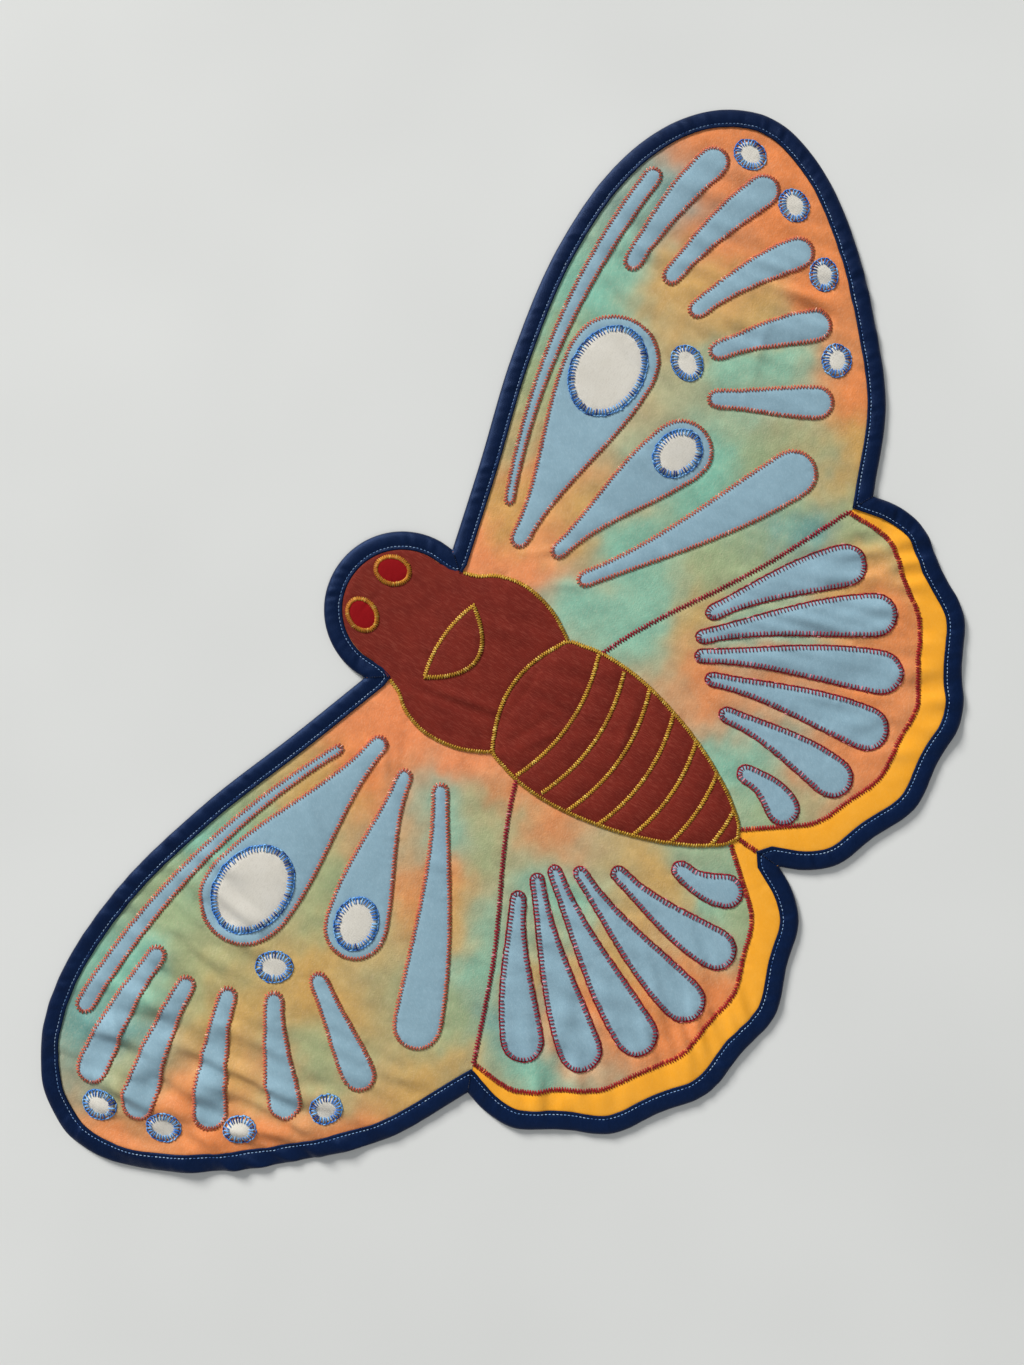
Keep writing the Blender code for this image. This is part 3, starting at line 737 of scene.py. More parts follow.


@dataclass(frozen=True)
class ClothFinish:
    """The finish of one cloth.

    Args:
        name: The material's name.
        slot: Not used.
        colour: Its colour; where it is dyed, the colour comes from the piece.
        patch: The colour of its soft patches.
        fleck: The colour of its fine flecks.
        weave: How it is woven.
        pitch: From one thread to the next.
        grain: Degrees from +X along its threads.
        patches: How strong the patches are.
        flecks: How strong the flecks are.
        relief: How deep the weave is.
        roughness: How dull it is.
        sheen: How much its fibres catch the light.
        dyed: Whether the piece brings its own colours.
        fleck_size: How wide a fleck is.
        gloss: How strongly it mirrors light.
        tint: The colour of its highlights.
    """

    name: str
    slot: str
    colour: Colour
    patch: Colour
    fleck: Colour
    weave: Weave
    pitch: float = 0.0006
    grain: float = 0.0
    patches: float = 0.35
    flecks: float = 0.30
    relief: float = 0.00012
    roughness: float = 0.85
    sheen: float = 0.15
    dyed: bool = False
    fleck_size: float = 0.0008
    gloss: float = 0.16
    tint: Colour = (1.0, 1.0, 1.0)

    def material(self) -> Material:
        """The material, made once."""
        return bpy.data.materials.get(self.name) or self.mixed(Bench(self.name))

    def mixed(self, bench: Bench) -> Material:
        """Make the material on a bench.

        Args:
            bench: Where its nodes are laid out.

        Returns:
            The material.
        """
        flat = bench.place(self.grain)
        colour = bench.add("Attribute", {"attribute_name": "Dye"}).outputs["Color"] if self.dyed else self.colour
        soft = bench.spread(bench.noise(flat, PATCH_SIZE, 6.0), 0.35, 0.68, 0.0, self.patches)
        colour = bench.mix(soft, colour, self.patch, "MULTIPLY" if self.dyed else "MIX")
        drawn = bench.place(self.grain, TWILL_STRETCH if self.weave is Weave.TWILL else USUAL_STRETCH)
        flecks = bench.spread(bench.noise(drawn, self.fleck_size), 0.50, 0.66, 0.0, self.flecks)
        colour = bench.mix(flecks, colour, self.fleck)
        fibre = bench.noise(flat, FIBRE_SIZE)
        if self.weave is Weave.NAP:
            height = bench.sum("ADD", fibre, bench.noise(flat, NAP_SIZE, 3.0))
        else:
            height = bench.sum("MAXIMUM", bench.ribs(flat, self.pitch, "X", 0.8),
                               bench.ribs(flat, self.pitch, "Y", 0.8))
            if self.weave is Weave.TWILL:
                height = bench.ribs(bench.place(self.grain + TWILL_TURN), TWILL_WIDTH * self.pitch, "X", 1.6)
            height = bench.sum("ADD", height, fibre)
        # Painted shade: the colour is darkened where the weave lies low between its threads.
        painted_shade = bench.spread(height, 0.4, 1.4, LOWEST_PAINTED_SHADE, 1.0)
        colour = bench.mix(1.0, colour, bench.add("CombineColor", {}, {0: painted_shade, 1: painted_shade, 2: painted_shade}).outputs[0],
                           "MULTIPLY")
        return bench.finish(colour, height, self.relief, Roughness=self.roughness,
                            Sheen_Weight=self.sheen, Sheen_Roughness=0.4,
                            Specular_IOR_Level=self.gloss, Specular_Tint=(*self.tint, 1.0))


PLY_TURN = 35.0  # of the strands that a thread is spun from, in degrees
PLY_PITCH = 0.0004  # from one strand to the next
PLY_RELIEF = 0.00005  # how deep the strands are


@dataclass(frozen=True)
class ThreadFinish:
    """The finish of one sewing thread.

    Args:
        name: The material's name.
        colour: Its main colour.
        second: The colour that it changes to along its length.
        speck_and_highlight: The colour of odd stitches, which in the gold thread are painted highlights.
        change: How far along the quilt it changes.
        speck_and_highlight_share: The share of odd stitches.
    """

    name: str
    colour: Colour
    second: Colour
    speck_and_highlight: Colour
    change: float = 0.012
    speck_and_highlight_share: float = 0.06

    def material(self) -> Material:
        """The material, made once.

        Returns:
            The material.
        """
        found = bpy.data.materials.get(self.name)
        if found:
            return found
        bench = Bench(self.name)
        flat = bench.place()
        alone = bench.add("NewGeometry").outputs["Random Per Island"]
        slow = bench.noise(flat, self.change)
        share = bench.spread(bench.sum("ADD", slow, bench.sum("MULTIPLY", alone, 0.35)), 0.52, 0.86)
        colour = bench.mix(share, self.colour, self.second)
        odd = bench.sum("GREATER_THAN", alone, 1.0 - self.speck_and_highlight_share)
        # Odd stitches take the speck colour; in the gold thread this is a painted highlight.
        colour = bench.mix(odd, colour, self.speck_and_highlight)
        ply = bench.ribs(bench.place(PLY_TURN), PLY_PITCH, "X", 0.5)
        return bench.finish(colour, ply, PLY_RELIEF, Roughness=0.50, Sheen_Weight=0.0,
                            Specular_IOR_Level=0.32)


NAVY_BINDING = ClothFinish("navy binding cotton", "navy_binding", screen(2, 14, 42), screen(7, 24, 58),
                           screen(24, 42, 82), Weave.SATEEN, 0.0005, 20.0, 0.40, 0.14, 0.00005, 0.46, 0.0,
                           gloss=0.34, tint=(0.22, 0.42, 1.0))
DYED_COTTON = ClothFinish("dyed brushed cotton", "dyed_cotton", screen(226, 134, 80), (0.71, 0.72, 0.72),
                          screen(244, 218, 186), Weave.NAP, 0.0006, 12.0, 0.55, 0.10, 0.00020, 0.62, 0.06,
                          True, gloss=0.28)
YELLOW_SATEEN = ClothFinish("yellow sateen", "yellow_sateen", screen(240, 162, 34), screen(248, 176, 60),
                            screen(252, 204, 110), Weave.SATEEN, 0.0005, 40.0, 0.40, 0.08, 0.00004, 0.48, 0.04,
                            gloss=0.25)
PALE_BLUE = ClothFinish("pale-blue felted cloth", "pale_blue_cloth", screen(132, 163, 178), screen(144, 175, 190),
                        screen(176, 202, 214), Weave.NAP, 0.0005, 55.0, 0.50, 0.16, 0.00007, 0.80, 0.08)
OFF_WHITE = ClothFinish("off-white linen", "off_white_cloth", screen(210, 205, 194), screen(220, 217, 209),
                        screen(184, 178, 166), Weave.PLAIN, 0.0008, 8.0, 0.40, 0.26, 0.00012, 0.85, 0.05)
RUST_TWILL = ClothFinish("rust-brown twill", "rust_twill", screen(118, 34, 22), screen(98, 24, 16),
                         screen(158, 76, 60), Weave.TWILL, 0.0008, 94.0, 0.60, 0.34, 0.00014, 0.78, 0.03,
                         fleck_size=0.0006)
RED_COTTON = ClothFinish("red cotton", "red_cotton", screen(132, 0, 8), screen(142, 2, 12),
                         screen(156, 12, 22), Weave.PLAIN, 0.0006, 15.0, 0.35, 0.12, 0.00006, 0.85, 0.0)
CALICO = ClothFinish("plain backing cotton", "backing_cotton", screen(216, 208, 194), screen(206, 198, 182),
                     screen(192, 182, 164), Weave.PLAIN, 0.0008, 0.0, 0.45, 0.25, 0.00012, 0.92, 0.10)

RUST_THREAD = ThreadFinish("rust thread", screen(204, 106, 78), screen(176, 80, 60), screen(222, 170, 150),
                           0.010, 0.04)
BURGUNDY_THREAD = ThreadFinish("burgundy thread", screen(154, 16, 46), screen(122, 10, 34), screen(206, 124, 138),
                               0.010, 0.04)
BLUE_THREAD = ThreadFinish("blue variegated thread", screen(40, 112, 198), screen(132, 186, 230),
                           screen(26, 60, 132), 0.006, 0.12)
# The gold thread's pale odd stitches are painted highlights.
GOLD_THREAD = ThreadFinish("gold thread", screen(204, 160, 50), screen(172, 126, 34), screen(232, 200, 96),
                           0.014, 0.12)
EYE_THREAD = ThreadFinish("orange-gold thread", screen(212, 146, 44), screen(190, 118, 38), screen(230, 190, 90),
                          0.010, 0.10)
RED_THREAD = ThreadFinish("red thread", screen(168, 28, 32), screen(136, 18, 30), screen(222, 116, 62), 0.012, 0.08)
FOLD_THREAD = ThreadFinish("navy fold", screen(4, 16, 46), screen(2, 10, 34), screen(8, 24, 60), 0.010, 0.10)
PALE_THREAD = ThreadFinish("pale-blue thread", screen(104, 144, 196), screen(166, 192, 220), screen(56, 92, 150),
                           0.020, 0.12)


class Tone(Enum):
    """The dye colours of the wing cloth."""

    ORANGE = screen(230, 132, 70)
    CORAL = screen(240, 138, 82)
    OCHRE = screen(206, 160, 86)
    SAGE = screen(156, 174, 128)
    MINT = screen(122, 188, 166)
    TEAL = screen(92, 156, 154)


@dataclass(frozen=True)
class Blot:
    """A place where the wing cloth has one dye colour."""

    x: float
    y: float
    tone: Tone


BLEND = 0.00050  # how softly one blot runs into the next
SHARPNESS = 1.9  # how quickly a blot's colour fades

DYE = tuple(Blot(x, y, tone) for tone, places in (
    (Tone.ORANGE, (
        (0.386, 0.150), (0.372, 0.088), (0.349, 0.036), (0.301, -0.017), (0.330, 0.120), (0.144, 0.130),
        (0.400, 0.110), (0.181, -0.126), (0.074, -0.044), (0.100, -0.084), (0.127, -0.135), (0.085, -0.149),
        (-0.106, 0.116), (-0.143, 0.031), (-0.339, 0.026), (-0.405, 0.112), (-0.385, 0.053), (-0.323, -0.026),
        (-0.360, 0.084), (-0.134, -0.141), (-0.110, -0.166), (-0.050, 0.010), (-0.160, -0.110))),
    (Tone.CORAL, (
        (0.061, 0.138), (0.080, 0.098), (-0.068, 0.112), (-0.060, 0.060))),
    (Tone.OCHRE, (
        (0.099, 0.139), (0.267, -0.042), (0.296, 0.119), (0.300, 0.070), (0.117, 0.088), (0.192, -0.094),
        (0.106, -0.016), (-0.156, 0.013), (-0.143, 0.130), (-0.291, 0.096), (-0.317, 0.103), (-0.261, -0.050),
        (-0.240, 0.060), (-0.152, -0.063), (-0.117, -0.098), (-0.056, -0.093))),
    (Tone.SAGE, (
        (0.193, 0.165), (0.157, 0.155), (0.222, -0.004), (0.222, -0.075), (0.031, -0.128), (0.150, -0.010),
        (-0.172, 0.160), (-0.252, 0.168), (-0.289, 0.124), (-0.294, 0.024), (-0.186, 0.078), (-0.374, 0.122),
        (-0.213, -0.030), (-0.099, 0.015), (-0.031, -0.150))),
    (Tone.MINT, (
        (0.293, 0.162), (0.249, 0.171), (0.280, 0.046), (0.189, 0.030), (0.119, 0.041), (0.076, 0.056),
        (0.090, 0.014), (0.124, -0.060), (0.066, -0.111), (0.039, -0.087), (-0.099, 0.054), (-0.207, 0.166),
        (-0.312, 0.167), (-0.162, -0.026), (-0.203, -0.096), (-0.106, -0.050), (-0.040, -0.125))),
    (Tone.TEAL, (
        (0.337, 0.158), (0.200, -0.037), (-0.354, 0.154), (-0.190, -0.062))),
) for x, y in places)


def strayed(places: np.ndarray, size: float, seed: int) -> np.ndarray:
    """An uneven step in x and y at some places, mostly between -1 and 1."""
    return np.column_stack([Clouds(size, number).at(places) for number in (seed, seed + 1)])


def dye_at(places: np.ndarray) -> np.ndarray:
    """The dye's colour at some places, one row of red, green and blue for each.

    Args:
        places: One row (x, y) for each place.

    Returns:
        The colours, darker or paler in soft clouds.
    """
    spots = places + strayed(places, 0.030, 3) * 0.009 + strayed(places, 0.007, 5) * 0.0022
    total, colour = np.zeros(len(places)), np.zeros((len(places), 3))
    for blot in DYE:
        away = (spots[:, 0] - blot.x) ** 2 + (spots[:, 1] - blot.y) ** 2
        weight = 1.0 / (away + BLEND) ** SHARPNESS
        total += weight
        colour += weight[:, None] * np.array(blot.tone.value)
    depth = 1.0 + 0.05 * Clouds(0.012, 7).at(places) + 0.03 * Clouds(0.0045, 8).at(places)
    return colour / total[:, None] * depth[:, None]


# ---------------------------------------------------------------- cuts of cloth


def piece_of(name: str, corners: np.ndarray, faces: list, finish: Material) -> Piece:
    """A new piece that rides on the quilt.

    Args:
        name: The piece's name.
        corners: One row (x, y, z) for each corner.
        faces: The corners of each face.
        finish: The piece's material.

    Returns:
        The piece.
    """
    mesh = bpy.data.meshes.new(name)
    mesh.from_pydata(corners.tolist(), [], faces)
    mesh.materials.append(finish)
    mesh.shade_smooth()
    piece = bpy.data.objects.new(name, mesh)
    bpy.context.scene.collection.objects.link(piece)
    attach(piece, BODY)
    LOG.info("%s: %d faces", name, len(faces))
    return piece


def staggered(edge: Line, grain: float, clear: float, nearest: Nearest) -> np.ndarray:
    """A staggered grid of places inside an edge, kept clear of it.

    Args:
        edge: The closed edge.
        grain: From one place to the next.
        clear: How far they keep from the edge.
        nearest: What measures that.

    Returns:
        One row (x, y) for each place.
    """
    low, high = edge.points.min(0), edge.points.max(0)
    rows = np.arange(low[1], high[1], grain * math.sqrt(3) / 2)
    columns = np.arange(low[0], high[0], grain)
    x, y = np.meshgrid(columns, rows)
    x = x + 0.5 * grain * (np.arange(len(rows)) % 2)[:, None]
    places = np.column_stack((x.ravel(), y.ravel()))
    places = places[edge.holds(places)]
    return places[nearest.of(places)[0] > clear] if len(places) else places


def filled(edge: Line, inner: np.ndarray) -> tuple[np.ndarray, np.ndarray, np.ndarray]:
    """Triangles that fill an edge.

    Args:
        edge: The closed edge.
        inner: Places inside it that the triangles pass through.

    Returns:
        The places, the triangles, and where in the places each point of the edge is.
    """
    given = [Vector(place) for place in np.vstack((edge.points, inner))]
    loop = list(range(len(edge.points)))
    places, _, faces, origins, _, _ = delaunay_2d_cdt(given, [], [loop], 1, 1e-8)
    rim = np.zeros(len(loop), int)
    for i, sources in enumerate(origins):
        for source in sources:
            if source < len(loop):
                rim[source] = i
    return np.array(places), np.array(faces), rim


def sheet_of(name: str, sides: tuple, heights: tuple, finish: ClothFinish) -> Piece:
    """A new piece that is a closed thin sheet.

    Args:
        name: The piece's name.
        sides: What filled gives for its upper and its lower side.
        heights: The heights of the places of both sides.
        finish: Its cloth.

    Returns:
        The piece.
    """
    (places, faces, rim), (below, under_faces, under_rim) = sides
    corners = np.vstack((np.column_stack((places, heights[0])), np.column_stack((below, heights[1]))))
    under_rim = under_rim + len(places)
    walls = np.column_stack((rim, under_rim, np.roll(under_rim, -1), np.roll(rim, -1)))
    faces = faces.tolist() + (under_faces[:, ::-1] + len(places)).tolist() + walls.tolist()
    piece = piece_of(name, corners, faces, finish.material())
    piece.data.set_sharp_from_angle(angle=SHARP_CREST)
    return piece


@dataclass
class Cut:
    """One cut of cloth, laid on the quilt where its solid is.

    Args:
        node: The solid that it stands for.
        finish: Its cloth.
        level: The height of its underside.
        thickness: How thick it is.
        grain: The size of its faces.
        droop: How far its edge is pulled down.
        crown: How far padding lifts it at some places.
        edge: Its edge, read from the solid unless given.
        also: Other solids that it stands for.
        corner: How many degrees a corner of its edge turns at least.
        droop_reach: How far in from its edge the droop reaches.
        ring_depths: How far in from its edge two rings of its places lie.
        ring_clear: How far those places keep from the edge at corners.
        inner_clear: How far its other places keep from the edge.
        under_grain: How much larger the faces below are.
        under_clear: How far the places below keep from the edge, in grains.
    """

    node: str
    finish: ClothFinish
    level: float
    thickness: float = 0.0007
    grain: float = 0.0020
    droop: float = 0.00032
    crown: Heights | None = None
    edge: Line | None = None
    also: tuple[str, ...] = ()
    corner: float = SHARP_TURN
    droop_reach: float = 0.0011
    ring_depths: tuple[float, float] = (0.0009, 0.0020)
    ring_clear: tuple[float, float] = (0.0007, 0.0016)
    inner_clear: float = 0.0034
    under_grain: float = 3.2
    under_clear: float = 2.0
    nearest: Nearest = field(init=False)

    def __post_init__(self) -> None:
        """Read the edge from the solid."""
        if self.edge is None:
            self.edge = rim_of(self.node)
        self.edge = self.edge.smoothed(0.8 * self.grain, self.corner)
        self.nearest = Nearest([self.edge], EDGE_SAMPLE)

    def shift(self, old: Line, new: Line, reach: float = 0.0015) -> None:
        """Move the part of its edge that lies beside one line to beside another.

        Args:
            old: The line that the edge lies beside.
            new: The line that it moves to.
            reach: How far beside the old line it may lie.
        """
        away, which = Nearest([old]).of(self.edge.points)
        old, new = old.spaced(SAMPLE), new.spaced(SAMPLE)
        step = new.points[np.minimum(which, len(new.points) - 1)] - old.points[which]
        share = np.clip(2.0 - 2.0 * away / reach, 0.0, 1.0)
        self.edge = Line(self.edge.points + step * share[:, None])
        self.nearest = Nearest([self.edge], EDGE_SAMPLE)

    def top(self, places: np.ndarray, lie: Lie) -> np.ndarray:
        """The height of its upper side at some places.

        Args:
            places: One row (x, y) for each place.
            lie: How the quilt lies.

        Returns:
            The height at each place.
        """
        away = self.nearest.of(places)[0]
        height = self.level + self.thickness + lie.lift(places)
        if self.crown is not None:
            height += self.crown(places)
        return height - self.droop * np.exp(-(away / self.droop_reach) ** 2)

    def build(self, lie: Lie, rests_on: list[str]) -> Piece:
        """Make the cut as a closed thin sheet, fine above and plainer below.

        Args:
            lie: How the quilt lies.
            rests_on: Not used.

        Returns:
            The piece.
        """
        rings = [self.edge.points - self.edge.outward() * depth for depth in self.ring_depths]
        band = np.vstack(rings)
        away = self.nearest.of(band)[0]
        band = band[self.edge.holds(band) & (away > np.repeat(self.ring_clear, len(rings[0])))]
        inner = np.vstack((band, staggered(self.edge, self.grain, self.inner_clear, self.nearest)))
        upper = filled(self.edge, inner)
        lower = filled(self.edge, staggered(self.edge, self.under_grain * self.grain,
                                            self.under_clear * self.grain, self.nearest))
        under = self.top(lower[0], lie) - self.thickness
        under += self.droop * np.exp(-(self.nearest.of(lower[0])[0] / self.droop_reach) ** 2)
        piece = sheet_of(self.node + "_cloth", (upper, lower), (self.top(upper[0], lie), under), self.finish)
        if self.finish.dyed:
            colours = np.ones((len(piece.data.vertices), 4))
            colours[:, :3] = dye_at(np.vstack((upper[0], lower[0])))
            layer = piece.data.color_attributes.new("Dye", "FLOAT_COLOR", "POINT")
            layer.data.foreach_set("color", colours.ravel())
        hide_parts(self.node, *self.also)
        self.declare()
        return piece

    def declare(self) -> None:
        """Work out the size that it was cut to, without keeping it.
        """
        area = self.edge.area()
        width, length = min((self.box(turn) for turn in range(0, 90, 5)), key=lambda box: box[0] * box[1])
        if area < 0.45 * width * length:
            length = self.edge.length() / 2
            width = 1.25 * area / length

    def box(self, turn: float) -> tuple[float, float]:
        """The sides of the box that holds its edge when turned by some degrees.

        Args:
            turn: Degrees that the box is turned.

        Returns:
            Its width and its length.
        """
        angle = math.radians(turn)
        across = self.edge.points @ (math.cos(angle), math.sin(angle))
        along = self.edge.points @ (-math.sin(angle), math.cos(angle))
        return float(np.ptp(across)), float(np.ptp(along))


# ---------------------------------------------------------------- stitches


ABOVE_ALL = 0.05  # a height that nothing reaches
PANEL_TOP = 0.0029  # the height of the cloth where none is found


class Surface:
    """The upper side of some finished pieces."""

    def __init__(self, pieces: list[Piece]) -> None:
        """Gather the faces of the pieces.

        Args:
            pieces: The pieces.
        """
        corners, faces = [], []
        for piece in pieces:
            first = len(corners)
            corners += [vertex.co.copy() for vertex in piece.data.vertices]
            faces += [[first + i for i in face.vertices] for face in piece.data.polygons]
        self.tree = BVHTree.FromPolygons(corners, faces)

    def at(self, places: np.ndarray) -> np.ndarray:
        """The height of the uppermost cloth at some places.

        Args:
            places: One row (x, y) for each place.

        Returns:
            The height at each place.
        """
        down = Vector((0.0, 0.0, -1.0))
        hits = [self.tree.ray_cast(Vector((x, y, ABOVE_ALL)), down)[0] for x, y in places]
        return np.array([hit.z if hit else PANEL_TOP for hit in hits])


class StitchKind(Enum):
    """How a machine stitch runs."""

    ZIGZAG = "zigzag"
    EDGED = "bars with a line along their outer ends"
    RUNNING = "running"


@dataclass(frozen=True)
class StitchStyle:
    """One kind of stitch.

    Args:
        kind: How it runs.
        finish: Its thread.
        pitch: From one stitch to the next.
        outer: How far it reaches out from the line.
        inner: How far it reaches in from the line.
        radius: Half the thread's thickness.
        uneven: How far its ends stray.
    """

    kind: StitchKind
    finish: ThreadFinish
    pitch: float
    outer: float
    inner: float
    radius: float = 0.00024
    uneven: float = 0.00012


RUST_ZIGZAG = StitchStyle(StitchKind.ZIGZAG, RUST_THREAD, 0.0022, 0.0013, 0.0018, 0.00038)
BURGUNDY_BARS = StitchStyle(StitchKind.EDGED, BURGUNDY_THREAD, 0.0024, 0.0009, 0.0025, 0.00046, 0.00018)
BLUE_BARS = StitchStyle(StitchKind.EDGED, BLUE_THREAD, 0.0022, 0.0020, 0.0025, 0.00052, 0.00024)
GOLD_SATIN = StitchStyle(StitchKind.ZIGZAG, GOLD_THREAD, 0.0017, 0.0014, 0.0014, 0.00040, 0.00010)
EYE_SATIN = StitchStyle(StitchKind.ZIGZAG, EYE_THREAD, 0.0013, 0.0014, 0.0016, 0.00038, 0.00010)
RED_SATIN = StitchStyle(StitchKind.ZIGZAG, RED_THREAD, 0.0018, 0.0017, 0.0017, 0.00042, 0.00014)
SEAM_ZIGZAG = StitchStyle(StitchKind.ZIGZAG, BURGUNDY_THREAD, 0.0021, 0.0017, 0.0017, 0.00042, 0.00014)
TOPSTITCH = StitchStyle(StitchKind.RUNNING, PALE_THREAD, 0.0026, 0.0, 0.0, 0.00026, 0.00006)
CORNER_FOLD = StitchStyle(StitchKind.RUNNING, FOLD_THREAD, 0.0016, 0.0, 0.0, 0.00046, 0.0)


RUNNING_PARTS, RUNNING_STITCH = 5, 3  # a running stitch fills so many fifths of its pitch
BAR_SHARES = (0.0, 0.33, 0.67, 1.0)  # the sections of a bar of thread, along it
BAR_RISES = (0.3, 1.1, 1.1, 0.3)  # how high they lie, in radii
BAR_SECTION = ((1.0, -0.7), (0.0, 1.0), (-1.0, -0.7))  # across and up, in radii


@dataclass
class Stitching:
    """Stitches of one style along several lines.

    Args:
        name: The piece's name.
        style: The stitch.
        lines: The lines that it follows.
        seed: Which unevenness it has.
    """

    name: str
    style: StitchStyle
    lines: list[Line]
    seed: int

    def ends(self, line: Line, chance: np.random.Generator) -> tuple[np.ndarray, np.ndarray]:
        """Where the stitches along one line start and end.

        Args:
            line: The line.
            chance: What draws their unevenness.

        Returns:
            The start and the end of each stitch.
        """
        style = self.style
        if style.kind is StitchKind.RUNNING:
            fine = line.spaced(style.pitch / RUNNING_PARTS)
            last = len(fine.points) // RUNNING_PARTS * RUNNING_PARTS
            starts, ends = fine.points[0:last:RUNNING_PARTS], fine.points[RUNNING_STITCH:last:RUNNING_PARTS]
        else:
            fine = line.spaced(style.pitch / 2)
            out = fine.outward()
            outer, inner = fine.points + out * style.outer, fine.points - out * style.inner
            count = len(fine.points) // 2
            feet = outer[0:2 * count:2]
            following = np.vstack((feet[1:], feet[:1] if line.closed else outer[-1:]))
            if style.kind is StitchKind.ZIGZAG:
                tips = inner[1:2 * count:2]
                starts, ends = np.vstack((feet, tips)), np.vstack((tips, following))
            else:
                starts, ends = np.vstack((feet, feet)), np.vstack((inner[0:2 * count:2], following))
        size = style.uneven
        return starts + chance.normal(0, size, starts.shape), ends + chance.normal(0, size, ends.shape)

    def sew(self, top: Heights) -> Piece:
        """Make every stitch as a short bar of thread that lies on the cloth.

        Args:
            top: The height of the cloth at some places.

        Returns:
            The piece.
        """
        chance = np.random.default_rng(self.seed)
        pairs = [self.ends(line, chance) for line in self.lines]
        starts, ends = (np.vstack([pair[i] for pair in pairs]) for i in (0, 1))
        radius = self.style.radius
        spots = [starts + (ends - starts) * share for share in BAR_SHARES]
        heights = [top(spot) for spot in spots]
        run = ends - starts
        run /= np.maximum(np.linalg.norm(run, axis=1), 1e-9)[:, None]
        side = np.column_stack((run[:, 1], -run[:, 0]))
        corners = []
        for share, spot, height, rise in zip(BAR_SHARES, spots, heights, BAR_RISES):
            taut = np.maximum(height, heights[0] + (heights[-1] - heights[0]) * share)
            for across, up in BAR_SECTION:
                corners.append(np.column_stack((spot + side * (radius * across), taut + radius * (rise + up))))
        corners = np.stack(corners, axis=1)
        first = 12 * np.arange(len(starts))[:, None, None]
        sides = [(k + j, k + 3 + j, k + 3 + (j + 1) % 3, k + (j + 1) % 3) for k in (0, 3, 6) for j in range(3)]
        faces = (first + np.array(sides)).reshape(-1, 4).tolist()
        faces += (first + np.array([(0, 1, 2), (11, 10, 9)])).reshape(-1, 3).tolist()
        return piece_of(self.name, corners.reshape(-1, 3), faces, self.style.finish.material())


# ---------------------------------------------------------------- sub-assemblies


def numbered(stem: str, count: int) -> list[str]:
    """A name with the numbers from 1 up."""
    return [f"{stem}_{number}" for number in range(1, count + 1)]


class Side(Enum):
    """A side of the body."""

    RIGHT = "right"
    LEFT = "left"


